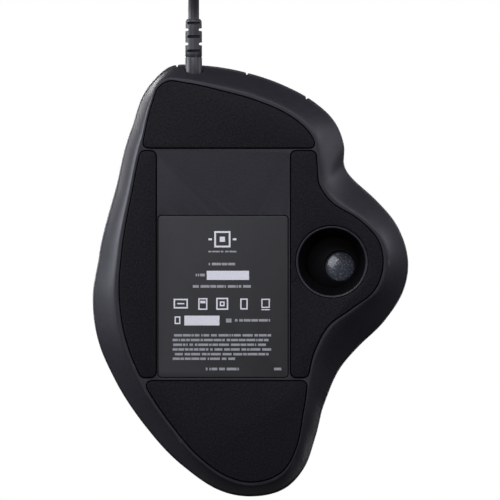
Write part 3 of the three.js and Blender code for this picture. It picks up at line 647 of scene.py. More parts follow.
class Nodes:
    """A material's nodes, wired one after another."""

    def __init__(self, name):
        self.material = bpy.data.materials.new(name)
        self.material.use_nodes = True
        self.tree = self.material.node_tree
        self.tree.nodes.clear()
        self.shader = self.add("ShaderNodeBsdfPrincipled")
        self.link(self.shader, "BSDF", self.add("ShaderNodeOutputMaterial"), "Surface")
        self.place = self.add("ShaderNodeTexCoord")

    def add(self, kind, **settings):
        node = self.tree.nodes.new(kind)
        for key, value in settings.items():
            setattr(node, key, value)
        return node

    def link(self, source, output, target, entry):
        self.tree.links.new(source.outputs[output], target.inputs[entry])

    def set(self, **values):
        for key, value in values.items():
            self.shader.inputs[key.replace("_", " ")].default_value = value
        return self

    def noise(self, scale, detail=4.0, roughness=0.6, stretch=None):
        node = self.add("ShaderNodeTexNoise")
        node.inputs["Scale"].default_value = scale
        node.inputs["Detail"].default_value = detail
        node.inputs["Roughness"].default_value = roughness
        self.point_at(node, stretch)
        return node, "Fac"

    def cells(self, scale, output="Distance", feature="F1"):
        node = self.add("ShaderNodeTexVoronoi", feature=feature)
        node.inputs["Scale"].default_value = scale
        self.point_at(node)
        return node, output

    def waves(self, scale, direction):
        node = self.add("ShaderNodeTexWave", bands_direction=direction)
        node.inputs["Scale"].default_value = scale
        node.inputs["Distortion"].default_value = 0.0
        self.point_at(node)
        return node, "Fac"

    def point_at(self, node, stretch=None):
        if stretch is None:
            self.link(self.place, "Object", node, "Vector")
            return
        mapping = self.add("ShaderNodeMapping")
        mapping.inputs["Scale"].default_value = stretch
        self.link(self.place, "Object", mapping, "Vector")
        self.link(mapping, "Vector", node, "Vector")

    def edges(self, low=0.52, high=0.6):
        """1 on worn convex edges, 0 elsewhere."""
        geometry = self.add("ShaderNodeNewGeometry")
        return self.ramp((geometry, "Pointiness"), [(low, (0, 0, 0)), (high, (1, 1, 1))])

    def ramp(self, source, stops):
        node = self.add("ShaderNodeValToRGB")
        elements = node.color_ramp.elements
        while len(elements) < len(stops):
            elements.new(0.5)
        for element, (position, colour) in zip(elements, stops):
            element.position = position
            element.color = (*colour, 1)
        self.link(*source, node, "Fac")
        return node, "Color"

    def mixed(self, factor, first, second):
        """A colour mix; first and second are sources or colours."""
        node = self.add("ShaderNodeMix", data_type="RGBA")
        self.link(*factor, node, 0)
        for entry, value in ((6, first), (7, second)):
            if isinstance(value[0], float):
                node.inputs[entry].default_value = (*value, 1)
            else:
                self.tree.links.new(value[0].outputs[value[1]], node.inputs[entry])
        return node, 2

    def maths(self, operation, first, second):
        node = self.add("ShaderNodeMath", operation=operation)
        for entry, value in enumerate((first, second)):
            if isinstance(value, tuple):
                self.tree.links.new(value[0].outputs[value[1]], node.inputs[entry])
            else:
                node.inputs[entry].default_value = value
        return node, "Value"

    def colour(self, source):
        self.link(*source, self.shader, "Base Color")
        return self

    def rough(self, source, low, high):
        node = self.add("ShaderNodeMapRange")
        node.inputs["To Min"].default_value = low
        node.inputs["To Max"].default_value = high
        self.link(*source, node, "Value")
        self.link(node, "Result", self.shader, "Roughness")
        return self

    def bump(self, *layers):
        """Bump layers as (source, depth in millimetres)."""
        previous = None
        for source, depth in layers:
            node = self.add("ShaderNodeBump")
            node.inputs["Strength"].default_value = 1.0
            node.inputs["Distance"].default_value = depth * MM
            self.link(*source, node, "Height")
            if previous is not None:
                self.link(previous, "Normal", node, "Normal")
            previous = node
        self.link(previous, "Normal", self.shader, "Normal")
        return self


def grained_plastic(name, dark, light, worn, low, high, grain, depth, specular=0.5):
    """Moulded plastic with a fine spark-eroded grain, faint clouding and polished edges."""
    n = Nodes(name)
    cloud = n.noise(55, 5)
    fine = n.noise(grain, 3, 0.75)
    pits = n.cells(grain * 0.8)
    mottle = n.noise(grain * 0.42, 2, 0.6)
    spread = n.maths("ADD", n.maths("MULTIPLY", cloud, 0.4), n.maths("MULTIPLY", mottle, 0.6))
    tone = n.ramp(spread, [(0.36, dark), (0.64, light)])
    n.colour(n.mixed(n.edges(0.53, 0.62), tone, worn))
    n.rough(spread, low, high)
    n.bump((cloud, depth * 2.5), (mottle, depth * 2.2), (fine, depth), (pits, depth * 0.8))
    return n.set(Specular_IOR_Level=specular).material


def pad_material():
    """Foot sheet with a pebbled hide."""
    n = Nodes("foot_rubber")
    pebble = n.noise(1700, 3, 0.65)
    cloud = n.noise(40, 6)
    dust = n.ramp(n.noise(900, 2, 0.8), [(0.6, (0, 0, 0)), (0.78, (1, 1, 1))])
    tone = n.ramp(pebble, [(0.34, (0.0022, 0.0021, 0.0030)), (0.66, (0.0112, 0.0109, 0.0142))])
    n.colour(n.mixed(n.maths("MULTIPLY", dust, 0.25), tone, (0.024, 0.024, 0.029)))
    n.rough(cloud, 0.62, 0.82)
    n.bump((cloud, 0.02), (pebble, 0.07))
    return n.set(Specular_IOR_Level=0.22).material


def label_material():
    n = Nodes("label_film")
    fibre = n.noise(700, 3, 0.7, (1, 0.12, 1))
    cloud = n.noise(70, 4)
    n.colour(n.ramp(n.maths("ADD", n.maths("MULTIPLY", fibre, 0.35), n.maths("MULTIPLY", cloud, 0.65)),
                    [(0.35, (0.0236, 0.0240, 0.0222)), (0.65, (0.0300, 0.0305, 0.0284))]))
    n.rough(fibre, 0.42, 0.58)
    n.bump((fibre, 0.004), (n.noise(5000, 2), 0.004))
    return n.material


def ink_material(name, dark, light):
    n = Nodes(name)
    patchy = n.noise(2600, 4, 0.7)
    n.colour(n.ramp(patchy, [(0.3, dark), (0.6, light)]))
    n.rough(patchy, 0.45, 0.65)
    n.bump((patchy, 0.003))
    return n.material


def ball_material():
    """Dark pearl resin with fine silvery speckles under a clear polish."""
    n = Nodes("ball_resin")
    coarse = n.cells(2600, "Color")
    fine = n.cells(4600, "Color")
    cloud = n.noise(120, 4)
    base = n.ramp(cloud, [(0.3, (0.030, 0.033, 0.042)), (0.7, (0.052, 0.056, 0.068))])
    flecks = n.ramp(coarse, [(0.70, (0, 0, 0)), (0.88, (1, 1, 1))])
    dots = n.ramp(fine, [(0.62, (0, 0, 0)), (0.9, (1, 1, 1))])
    tone = n.mixed(n.maths("MULTIPLY", flecks, 0.75), base, (0.36, 0.37, 0.41))
    n.colour(n.mixed(n.maths("MULTIPLY", dots, 0.5), tone, (0.22, 0.23, 0.27)))
    n.link(*n.maths("MULTIPLY", flecks, 0.7), n.shader, "Metallic")
    n.rough(cloud, 0.26, 0.36)
    n.bump((n.noise(900, 2), 0.002))
    return n.set(Coat_Weight=0.7, Coat_Roughness=0.06).material


def metal_material(name, dark, light, low, high):
    n = Nodes(name)
    brushed = n.noise(500, 5, 0.7, (1, 9, 1))
    tarnish = n.noise(240, 4)
    tone = n.ramp(tarnish, [(0.3, dark), (0.7, light)])
    n.colour(n.mixed(n.edges(), tone, tuple(min(1.0, 1.2 * c) for c in light)))
    n.rough(brushed, low, high)
    n.bump((brushed, 0.006))
    return n.set(Metallic=1.0).material


def board_material():
    """Green circuit board with traces under the mask and tinned pads."""
    n = Nodes("circuit")
    traces = n.ramp(n.cells(420, feature="DISTANCE_TO_EDGE"), [(0.05, (1, 1, 1)), (0.10, (0, 0, 0))])
    pads = n.ramp(n.cells(260), [(0.12, (1, 1, 1)), (0.16, (0, 0, 0))])
    cloud = n.noise(300, 4)
    mask = n.ramp(cloud, [(0.3, (0.010, 0.060, 0.022)), (0.7, (0.016, 0.085, 0.030))])
    tone = n.mixed(traces, mask, (0.030, 0.140, 0.050))
    n.colour(n.mixed(pads, tone, (0.62, 0.58, 0.46)))
    n.rough(cloud, 0.28, 0.45)
    n.bump((traces, 0.02), (pads, 0.02))
    return n.material


def clear_material(name, colour, transmission, low, high):
    n = Nodes(name)
    flow = n.noise(350, 3)
    tone = tuple(0.8 * c for c in colour)
    n.colour(n.ramp(flow, [(0.35, tone), (0.65, colour)]))
    n.rough(flow, low, high)
    n.bump((flow, 0.002))
    return n.set(Transmission_Weight=transmission, IOR=1.5 if transmission > 0.8 else 1.76).material


def jacket_material(name, dark, light, low, high):
    """Satin flexible jacket with a faint extruded grain and dust."""
    n = Nodes(name)
    grain = n.noise(2400, 3, 0.7)
    cloud = n.noise(90, 5)
    scuffs = n.ramp(n.noise(420, 6, 0.8), [(0.58, (0, 0, 0)), (0.75, (1, 1, 1))])
    tone = n.ramp(n.maths("ADD", n.maths("MULTIPLY", cloud, 0.6), n.maths("MULTIPLY", grain, 0.4)),
                  [(0.35, dark), (0.65, light)])
    worn = n.mixed(n.maths("MULTIPLY", scuffs, 0.25), tone, (0.045, 0.045, 0.048))
    n.colour(n.mixed(n.edges(), worn, (0.055, 0.055, 0.058)))
    n.rough(cloud, low, high)
    n.bump((cloud, 0.02), (grain, 0.008))
    return n.material


def webbing_material():
    """Woven strap of the cable tie."""
    n = Nodes("tie_webbing")
    warp = n.waves(420, "Y")
    weft = n.waves(420, "X")
    weave = n.maths("MULTIPLY", warp, weft)
    fuzz = n.noise(3200, 3, 0.8)
    n.colour(n.ramp(n.maths("ADD", n.maths("MULTIPLY", weave, 0.6), n.maths("MULTIPLY", fuzz, 0.4)),
                    [(0.2, (0.006, 0.006, 0.007)), (0.8, (0.024, 0.024, 0.026))]))
    n.rough(fuzz, 0.8, 0.95)
    n.bump((weave, 0.12), (fuzz, 0.03))
    return n.set(Sheen_Weight=0.3, Sheen_Roughness=0.5).material


LOOKS = {
    "casing": grained_plastic("casing", (0.0088, 0.0086, 0.0112), (0.0178, 0.0174, 0.0215),
                              (0.040, 0.040, 0.046), 0.44, 0.58, 3600, 0.010),
    "cover": grained_plastic("cover", (0.0080, 0.0079, 0.0100), (0.0135, 0.0133, 0.0165),
                             (0.034, 0.034, 0.040), 0.42, 0.56, 3000, 0.011),
    "button": grained_plastic("button", (0.0072, 0.0071, 0.0092), (0.0120, 0.0118, 0.0148),
                              (0.034, 0.034, 0.040), 0.36, 0.48, 4200, 0.007),
    "foot_rubber": pad_material(),
    "label_film": label_material(),
    "ball_resin": ball_material(),
    # The cup plastic is darker than the casing's black plastic. Its near-black tone and low specular are
    # painted shade, which darkens the ball cup seen through the finger hole and the base faces given this
    # material.
    "cup_plastic": grained_plastic("cup_plastic", (0.0009, 0.0009, 0.0010), (0.0016, 0.0016, 0.0018),
                                   (0.006, 0.006, 0.007), 0.55, 0.75, 3200, 0.010, specular=0.12),
    "ruby": clear_material("ruby", (0.55, 0.01, 0.05), 0.6, 0.03, 0.08),
    "steel": metal_material("steel", (0.42, 0.42, 0.43), (0.58, 0.58, 0.59), 0.22, 0.38),
    "circuit": board_material(),
    "component": grained_plastic("component", (0.0080, 0.0080, 0.0088), (0.0130, 0.0130, 0.0142),
                                 (0.05, 0.05, 0.05), 0.4, 0.6, 5000, 0.006),
    "plunger": grained_plastic("plunger", (0.30, 0.020, 0.018), (0.40, 0.030, 0.026),
                               (0.55, 0.08, 0.07), 0.35, 0.5, 3000, 0.004),
    "tyre_rubber": jacket_material("tyre_rubber", (0.0070, 0.0070, 0.0078), (0.0120, 0.0120, 0.0130),
                                   0.68, 0.88),
    "hub_plastic": grained_plastic("hub_plastic", (0.022, 0.022, 0.025), (0.032, 0.032, 0.036),
                                   (0.06, 0.06, 0.065), 0.4, 0.55, 3200, 0.006),
    "cable_jacket": jacket_material("cable_jacket", (0.0085, 0.0085, 0.0095), (0.0135, 0.0135, 0.0150),
                                    0.40, 0.55),
    "contact_plastic": grained_plastic("contact_plastic", (0.60, 0.60, 0.58), (0.72, 0.72, 0.70),
                                       (0.8, 0.8, 0.8), 0.35, 0.5, 2500, 0.004),
    "lens_plastic": clear_material("lens_plastic", (0.86, 0.90, 0.94), 0.95, 0.02, 0.06),
}
WHITE_INK = ink_material("white_ink", (0.86, 0.86, 0.86), (0.97, 0.97, 0.97))
GREY_INK = ink_material("grey_ink", (0.30, 0.30, 0.31), (0.46, 0.46, 0.47))
GOLD = metal_material("contact_gold", (0.62, 0.42, 0.14), (0.80, 0.58, 0.22), 0.2, 0.3)
WEBBING = webbing_material()


def finish_piece(obj, slot_name, body, *replaced, material=None):
    """Gives a piece its finish and its place in the assembly."""
    obj.data.materials.clear()
    obj.data.materials.append(material or LOOKS[slot_name])
    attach(obj, body)
    if replaced:
        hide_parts(*replaced)
    return obj


# ---- camera, light and floor ----

def add_camera():
    """Looks straight up at the underside through a long lens: the picture's top is the cable end."""
    data = bpy.data.cameras.new("camera")
    data.lens = 400         # a long lens, so that the view is nearly without perspective
    camera = bpy.data.objects.new("camera", data)
    bpy.context.scene.collection.objects.link(camera)
    seen_width = 0.1543     # metres across the picture at the height of the rim
    camera.location = (0.0002, 0.0094, 0.006 - seen_width * data.lens / data.sensor_width)
    camera.rotation_euler = (0, math.pi, 0)
    bpy.context.scene.camera = camera


def add_light(name, place, target, size, watts, colour=(1, 1, 1)):
    data = bpy.data.lights.new(name, "AREA")
    data.shape = "RECTANGLE"
    data.size, data.size_y = size
    data.energy = watts
    data.color = colour
    light = bpy.data.objects.new(name, data)
    bpy.context.scene.collection.objects.link(light)
    light.location = place
    light.rotation_euler = (Vector(target) - Vector(place)).to_track_quat("-Z", "Y").to_euler()
    light.visible_camera = False


def add_world():
    """White behind the object, a softer grey for the light that it gives."""
    world = bpy.data.worlds.new("studio")
    bpy.context.scene.world = world
    world.use_nodes = True
    tree = world.node_tree
    tree.nodes.clear()
    seen = tree.nodes.new("ShaderNodeBackground")
    seen.inputs["Color"].default_value = (1, 1, 1, 1)
    given = tree.nodes.new("ShaderNodeBackground")
    given.inputs["Color"].default_value = (0.066, 0.067, 0.078, 1)
    path = tree.nodes.new("ShaderNodeLightPath")
    mix = tree.nodes.new("ShaderNodeMixShader")
    out = tree.nodes.new("ShaderNodeOutputWorld")
    tree.links.new(path.outputs["Is Camera Ray"], mix.inputs["Fac"])
    tree.links.new(given.outputs["Background"], mix.inputs[1])
    tree.links.new(seen.outputs["Background"], mix.inputs[2])
    tree.links.new(mix.outputs["Shader"], out.inputs["Surface"])


def add_floor():
    """A pale desk that shows from above, and is clear from below."""
    mesh = bpy.data.meshes.new("floor")
    reach = 3.0
    corners = [(-reach, -reach, 0), (reach, -reach, 0), (reach, reach, 0), (-reach, reach, 0)]
    mesh.from_pydata(corners, [], [(0, 1, 2, 3)])
    floor = bpy.data.objects.new("floor", mesh)
    bpy.context.scene.collection.objects.link(floor)
    n = Nodes("floor")
    n.set(Base_Color=(0.86, 0.86, 0.86, 1), Roughness=0.7)
    clear = n.add("ShaderNodeBsdfTransparent")
    geometry = n.add("ShaderNodeNewGeometry")
    distance = n.add("ShaderNodeVectorMath", operation="LENGTH")
    n.link(n.place, "Object", distance, 0)
    fade = n.add("ShaderNodeMapRange")
    fade.inputs["From Min"].default_value = 0.35
    fade.inputs["From Max"].default_value = 2.2
    n.link(distance, "Value", fade, "Value")
    share = n.maths("MAXIMUM", (fade, "Result"), (geometry, "Backfacing"))
    mix = n.add("ShaderNodeMixShader")
    n.link(*share, mix, "Fac")
    n.link(n.shader, "BSDF", mix, 1)
    n.link(clear, "BSDF", mix, 2)
    output = next(x for x in n.tree.nodes if x.bl_idname == "ShaderNodeOutputMaterial")
    n.link(mix, "Shader", output, "Surface")
    mesh.materials.append(n.material)
    floor.visible_diffuse = False
    floor.visible_glossy = False
    floor.visible_transmission = False
    floor.visible_shadow = False


add_camera()
add_world()
add_floor()
bpy.context.scene.view_settings.view_transform = "Standard"
COOL = (0.93, 0.94, 1.06)
add_light("front_below", (0.06, 0.26, -0.20), (0, 0.04, 0.0), (0.16, 0.10), 0.42, COOL)
add_light("lobe_below", (-0.30, 0.33, -0.37), (-0.02, 0.02, 0.0), (0.14, 0.14), 0.80, COOL)
add_light("side_box", (0.60, 0.24, 0.03), (0.03, 0.04, 0.01), (0.34, 0.42), 4.6, COOL)
add_light("lobe_box", (-0.56, 0.25, 0.04), (-0.03, 0.02, 0.01), (0.26, 0.34), 1.0, COOL)
add_light("fill_below", (0.34, 0.24, -1.24), (0, 0, 0.0), (0.5, 0.5), 3.1, COOL)
add_light("key_above", (0.28, 0.12, 1.10), (0, 0.03, 0.02), (0.4, 0.4), 4.0)
add_light("top_above", (-0.10, 0.05, 1.30), (0, 0.03, 0.0), (0.9, 0.9), 7.0)


# ---- the cable: down from its relief, into a coil of three turns by four layers, and out to the plug ----

CABLE_ROUTE = [
    (17.6, 80.7, 7.2), (17.6, 84, 7.1), (17.6, 88, 6.2), (17.6, 93, 4.2), (17.6, 98, 2.6), (17.6, 102, 2.3),
    (17.6, 107, 2.3), (17.6, 113.5, 2.3),
]
TAIL_ROUTE = [
    (17.5, 137.2, 3.6), (14.2, 141.9, 3.4), (9.6, 146.2, 3.6), (3.6, 149.8, 4.1), (-3, 151.3, 4.4),
    (-9.2, 151.5, 4.4),
]
# From the coil's top layer down to the desk: degrees round the coil, radius and height.
COIL_EXIT = [
    (-74, 22.8, 12.7), (-60, 24.6, 12.2), (-46, 25.7, 11.0), (-32, 26.0, 9.2), (-18, 26.1, 7.2),
    (-4, 26.3, 5.4), (10, 26.7, 4.2), (24, 27.2, 3.7),
]
COIL_COLUMNS = (21.95, 18.5, 15.05)
COIL_PITCH, COIL_FLOOR, COIL_TURNS = 3.45, 2.3, 11.75


def soft_step(t):
    t = min(max(t, 0.0), 1.0)
    return t * t * (3 - 2 * t)


def coil_place(turn):
    """Radius and height of the coil's centre line after a number of turns."""
    lap = int(turn)
    part = soft_step((turn - lap - 0.83) / 0.17)

    def seat(k):
        layer, column = divmod(k, 3)
        columns = COIL_COLUMNS if layer % 2 == 0 else COIL_COLUMNS[::-1]
        return columns[column], COIL_FLOOR + COIL_PITCH * layer

    here, after = seat(lap), seat(lap + 1)
    return here[0] + (after[0] - here[0]) * part, here[1] + (after[1] - here[1]) * part


def round_coil(angle, radius, z):
    return COIL_CENTRE[0] + radius * math.cos(angle), COIL_CENTRE[1] + radius * math.sin(angle), z


def cable_points():
    points = list(CABLE_ROUTE)
    per_turn = 20
    for k in range(int(COIL_TURNS * per_turn) + 1):
        points.append(round_coil(TURN * k / per_turn, *coil_place(k / per_turn)))
    points += [round_coil(math.radians(degrees), radius, z) for degrees, radius, z in COIL_EXIT]
    return np.array(points + TAIL_ROUTE, float)


def add_cable():
    points = cable_points() * MM
    curve = bpy.data.curves.new("cable_cord", "CURVE")
    curve.dimensions = "3D"
    curve.resolution_u = 6
    curve.bevel_depth = CABLE_DIAMETER / 2 * MM
    curve.bevel_resolution = 6
    curve.use_fill_caps = True
    spline = curve.splines.new("BEZIER")
    spline.bezier_points.add(len(points) - 1)
    before = np.vstack([points[:1], points[:-1]])
    after = np.vstack([points[1:], points[-1:]])
    for i, knot in enumerate(spline.bezier_points):
        direction = after[i] - before[i]
        direction = direction / np.linalg.norm(direction)
        knot.co = points[i]
        knot.handle_left_type = knot.handle_right_type = "FREE"
        knot.handle_left = points[i] - direction * np.linalg.norm(points[i] - before[i]) / 3
        knot.handle_right = points[i] + direction * np.linalg.norm(after[i] - points[i]) / 3
    obj = bpy.data.objects.new("cable_cord", curve)
    bpy.context.scene.collection.objects.link(obj)
    return obj


cable = add_cable()
finish_piece(cable, "cable_jacket", "casing", "cable", "cable_coil", "cable_tail")


def add_relief():
    """A flexible sleeve: plain collar, then rings joined by bridges that alternate round the cable."""
    x, z = RELIEF
    profile = [
        (0, 58.3), (4.2, 58.3), (4.2, 60.1), (2.62, 60.1), (2.62, 63.0), (2.60, 68.6), (2.48, 68.75),
        (2.48, 69.05), (2.60, 69.2), (2.58, 76.0), (2.50, 79.9), (2.30, 80.4), (2.0, 80.7), (0, 80.7),
    ]
    sleeve = revolve("strain_relief_sleeve", profile, (x, 0, z), (0, 1, 0), 64, 40)
    cuts = []
    for k, y in enumerate((70.4, 72.6, 74.8, 77.0, 79.0)):
        across = k % 2 == 0
        for side in (-1, 1):
            reach = (1.1, 3.2) if side > 0 else (-3.2, -1.1)
            if across:
                low, high = (x - 2.0, y, z + reach[0]), (x + 2.0, y + 0.85, z + reach[1])
            else:
                low, high = (x + reach[0], y, z - 2.0), (x + reach[1], y + 0.85, z + 2.0)
            cuts.append(rounded_box("cutter", low, high, 0.3, 2))
    return combine(sleeve, "DIFFERENCE", cuts, 40)


relief = finish_piece(add_relief(), "cable_jacket", "casing", "strain_relief")


def add_tie():
    """A hook-and-loop strap round the coil's turns, with its end pressed down on top."""
    x0, x1 = COIL_CENTRE[0] - 24.75, COIL_CENTRE[0] - 12.2
    path = round_corners([(x0, 0.35), (x1, 0.35), (x1, 15.0), (x0, 15.0)], 2.2)
    path = resample(path, 0.7)

    def band(name, line, thickness, low, high, closed):
        vertices, faces = [], []
        outer = grow(line, thickness)
        for rows, y in ((line, low), (outer, low), (outer, high), (line, high)):
            vertices.append(np.column_stack([rows[:, 0], np.full(len(rows), y), rows[:, 1]]))
        count = len(line)
        for i in range(count if closed else count - 1):
            j = (i + 1) % count
            for k in range(4):
                row, next_row = k * count, (k + 1) % 4 * count
                faces.append((row + i, row + j, next_row + j, next_row + i))
        if not closed:
            faces.append((0, count, 2 * count, 3 * count))
            faces.append(tuple(k * count + count - 1 for k in (3, 2, 1, 0)))
        return face_outwards(mesh_object(name, np.vstack(vertices), faces, 40), 40)

    loop = band("cable_strap", path, 0.3, COIL_CENTRE[1] - 4, COIL_CENTRE[1] + 4, True)
    overlap = grow(path, 0.36)
    top = overlap[(overlap[:, 1] > 6.0)]
    order = np.argsort(np.arctan2(top[:, 1] - 7.5, top[:, 0] - (x0 + x1) / 2))
    line = top[order][:len(top) - 10]
    end = band("strap_end", line, 0.5, COIL_CENTRE[1] - 3.6, COIL_CENTRE[1] + 3.6, False)
    return join(loop, [end])


tie = finish_piece(add_tie(), "tyre_rubber", "casing", "cable_tie", material=WEBBING)


def add_plug():
    """A flat plug: ribbed overmould and ringed boot, steel shell with windows, tongue and contacts."""
    y, z = PLUG
    body = rounded_box("plug_overmould", (-35, y - 6, z - 4.1), (-15.5, y + 6, z + 4.1), 1.5, 4)
    grooves = []
    for x in (-30.6, -28.4, -26.2, -24.0, -21.8):
        for side in (-1, 1):
            low, high = sorted((y + side * 5.45, y + side * 6.8))
            grooves.append(rounded_box("cutter", (x, low, z - 3.0), (x + 0.9, high, z + 3.0), 0.3, 2))
    combine(body, "DIFFERENCE", grooves, 38)
    profile = [(0, 0), (3.6, 0), (3.5, 1.2), (2.95, 1.5), (2.95, 2.3), (3.25, 2.6), (3.15, 3.6), (2.7, 3.9),
               (2.7, 4.7), (2.95, 5.0), (2.8, 6.0), (2.4, 6.6), (0, 6.6)]
    boot = revolve("boot", profile, (-15.9, y, z), (1, 0, 0), 48, 38)
    join(body, [boot])
    shell = rounded_box("plug_shell_sleeve", (-47.5, y - 6, z - 2.25), (-35.3, y + 6, z + 2.25), 0.55, 3)
    room = rounded_box("cutter", (-48.5, y - 5.68, z - 1.93), (-36.4, y + 5.68, z + 1.93), 0.3, 2)
    windows = []
    for middle in (y - 2.9, y + 2.9):
        low, high = (-43.3, middle - 1.2, z - 3), (-41.0, middle + 1.2, z + 3)
        windows.append(rounded_box("cutter", low, high, 0.2, 1))
    seam = rounded_box("cutter", (-48, y - 0.06, z - 2.4), (-35.9, y + 0.06, z - 1.5), 0.02, 1)
    combine(shell, "DIFFERENCE", [room, *windows, seam], 38)
    low, high = (-46.9, y - 5.2, z + 0.2), (-37.1, y + 5.2, z + 1.5)
    tongue = rounded_box("plug_contact_tongue", low, high, 0.25, 2)
    contacts = []
    for offset, length in ((-3.5, 7.4), (-1.0, 6.2), (1.0, 6.2), (3.5, 7.4)):
        low = (-46.2, y + offset - 0.55, z + 0.02)
        high = (-46.2 + length, y + offset + 0.55, z + 0.3)
        contacts.append(rounded_box("contact", low, high, 0.08, 1))
    blades = join(contacts[0], contacts[1:])
    blades.name = "plug_contacts"
    return body, shell, tongue, blades


plug_body, plug_shell, plug_tongue, plug_contacts = add_plug()
finish_piece(plug_body, "cable_jacket", "casing", "plug_body")
finish_piece(plug_shell, "steel", "casing", "plug_shell")
finish_piece(plug_tongue, "contact_plastic", "casing", "plug_tongue")
finish_piece(plug_contacts, "steel", "casing", material=GOLD)


# ---- the base and what is under it ----

def base_rings(heights, inset=0.0, count=360):
    a = np.arange(count) * TURN / count
    flat, rim = feet_edge(a) + FLAT_MARGIN, silhouette(a) - RIM_INSET
    rings = []
    for z in heights:
        rise = max(min(z, RIM) - BASE_FLOOR, 0) / (RIM - BASE_FLOOR)
        r = flat + (rim - flat) * rise ** WALL_POWER - inset
        rings.append(np.stack([HUB_X + r * np.cos(a), r * np.sin(a), np.full(count, z)], 1))
    return rings


def foot_outline(*cuts):
    """The feet's common outline, cut by lines. A cut is an axis, a limit and the side that stays."""
    outline = around(feet_edge, 420)
    for axis, limit, keep_above in cuts:
        outline = clip(outline, axis, limit, keep_above)
    return resample(round_corners(outline, 1.9), 0.5)


SIDE_CUTS = (1, PAD_EDGES["side_rear"], True), (1, PAD_EDGES["side_front"], False)
FOOT_PLANS = {
    "front_foot": foot_outline((1, PAD_EDGES["front"], True)),
    "right_foot": foot_outline((0, PAD_EDGES["right"], True), *SIDE_CUTS),
    "ball_side_foot": foot_outline((0, PAD_EDGES["left"], False), *SIDE_CUTS),
    "rear_foot": foot_outline((1, PAD_EDGES["rear"], False)),
}
LABEL_CORNERS = [LABEL_LOW, (LABEL_HIGH[0], LABEL_LOW[1]), LABEL_HIGH, (LABEL_LOW[0], LABEL_HIGH[1])]
LABEL_PLAN = resample(round_corners(LABEL_CORNERS, 1.1), 0.5)


def round_finger_hole(profile):
    """A piece turned round the finger hole's upright axis."""
    return revolve("lathe", profile, (*FINGER_HOLE, 0), (0, 0, 1), 160, 34)


def add_base():
    heights = [BASE_FLOOR + (RIM - BASE_FLOOR) * t ** 2.6 for t in np.linspace(0, 1, 22)]
    rings = base_rings(sorted([*heights, RIM - 0.35]))
    rings[0][:, 2] = BASE_FLOOR
    shell = stack("bottom_casing", rings, 30)
    cavity = stack("cutter", base_rings([FLOOR_INSIDE, 5.2, 8.2, RIM + 1], BASE_WALL, 180))
    combine(shell, "DIFFERENCE", [cavity], 30)
    pillars = [revolve("pillar", [(0, 2), (4, 2), (4, 8.7), (0, 8.7)], (x, y, 0), count=32)
               for x, y in CASE_SCREWS]
    pillars += [revolve("pillar", [(0, 2), (2.8, 2), (2.8, 9), (0, 9)], (x, y, 0), count=32)
                for x, y in CUP_SCREWS]
    funnel = round_finger_hole([(9.4, 2), (12.2, 2), (9.3, 6.1), (7.7, 6.1)])
    combine(shell, "UNION", [*pillars, funnel], 30)
    cuts = [flared_cutter(grow(plan, 0.36), BASE_FLOOR, 1.9, 0.10) for plan in FOOT_PLANS.values()]
    cuts.append(flared_cutter(grow(LABEL_PLAN, 0.24), BASE_FLOOR, 1.4, 0.10))
    cuts.append(round_finger_hole([
        (0, -1), (11.6, -1), (11.6, 0.56), (11.2, 0.6), (10.85, 0.68), (10.62, 0.86), (10.52, 1.15),
        (10.42, 1.7), (10.1, 2.4), (9.55, 3.2), (8.9, 4.4), (8.45, 5.4), (8.15, 5.9), (8.05, 7), (0, 7),
    ]))
    relief_hole = [(0, 55), (2.95, 55), (2.95, 66.5), (3.3, 67.6), (3.3, 75), (0, 75)]
    cuts.append(revolve("cutter", relief_hole, (RELIEF[0], 0, RELIEF[1]), (0, 1, 0), 64))
    case_screw_hole = [(0, -1), (2.9, -1), (2.9, 4.3), (1.5, 4.3), (1.5, 9), (0, 9)]
    cuts += [revolve("cutter", case_screw_hole, (x, y, 0), count=32) for x, y in CASE_SCREWS]
    cup_screw_hole = [(0, 4), (1.4, 4), (1.4, 10), (0, 10)]
    cuts += [revolve("cutter", cup_screw_hole, (x, y, 0), count=24) for x, y in CUP_SCREWS]
    combine(shell, "DIFFERENCE", cuts, 30)
    lip = [(10.35, 0.95), (10.55, 0.42), (10.75, 0.30), (10.95, 0.32), (11.08, 0.46), (11.1, 1.2)]
    return join(shell, [round_finger_hole(lip)])


def add_foot(name, plan):
    """A foot sheet with a crisp cut edge; the finger hole goes through the one on the ball's side."""
    foot = plate(name + "_sheet", plan, 0.0, 1.0, 0.13, 0.0, 36)
    if name == "ball_side_foot":
        hole = round_finger_hole([(0, -1), (11.75, -1), (11.75, -0.02), (11.45, 0.02), (11.3, 0.12),
                                  (11.25, 0.3), (11.25, 2), (0, 2)])
        combine(foot, "DIFFERENCE", [hole], 36)
    return foot


base = finish_piece(add_base(), "casing", "casing", "bottom_shell")
base.data.materials.append(LOOKS["cup_plastic"])
# Painted shade: the finger hole's inside and the recess walls inside the feet's outline, from 0.7 to 2 mm up,
# get the near-black cup plastic, so they stay dark where shade falls.
for face in base.data.polygons:
    x, y, z = face.center / MM
    in_hole = math.hypot(x - FINGER_HOLE[0], y - FINGER_HOLE[1]) < 10.4 and z > 1.3
    under_feet = math.hypot(x - HUB_X, y) < feet_edge(math.atan2(y, x - HUB_X)) + 0.6
    if in_hole or (under_feet and 0.7 < z < 2.0):
        face.material_index = 1
for foot_name, foot_plan in FOOT_PLANS.items():
    finish_piece(add_foot(foot_name, foot_plan), "foot_rubber", "casing", foot_name)


# ---- the label and its generic print ----

def stroke(low, high, outline=0.0):
    """A printed bar, or a printed frame if it has an outline width."""
    if not outline:
        return [(low, high)]
    (x0, y0), (x1, y1) = low, high
    return [((x0, y0), (x1, y0 + outline)), ((x0, y1 - outline), (x1, y1)),
            ((x0, y0 + outline), (x0 + outline, y1 - outline)),
            ((x1 - outline, y0 + outline), (x1, y1 - outline))]


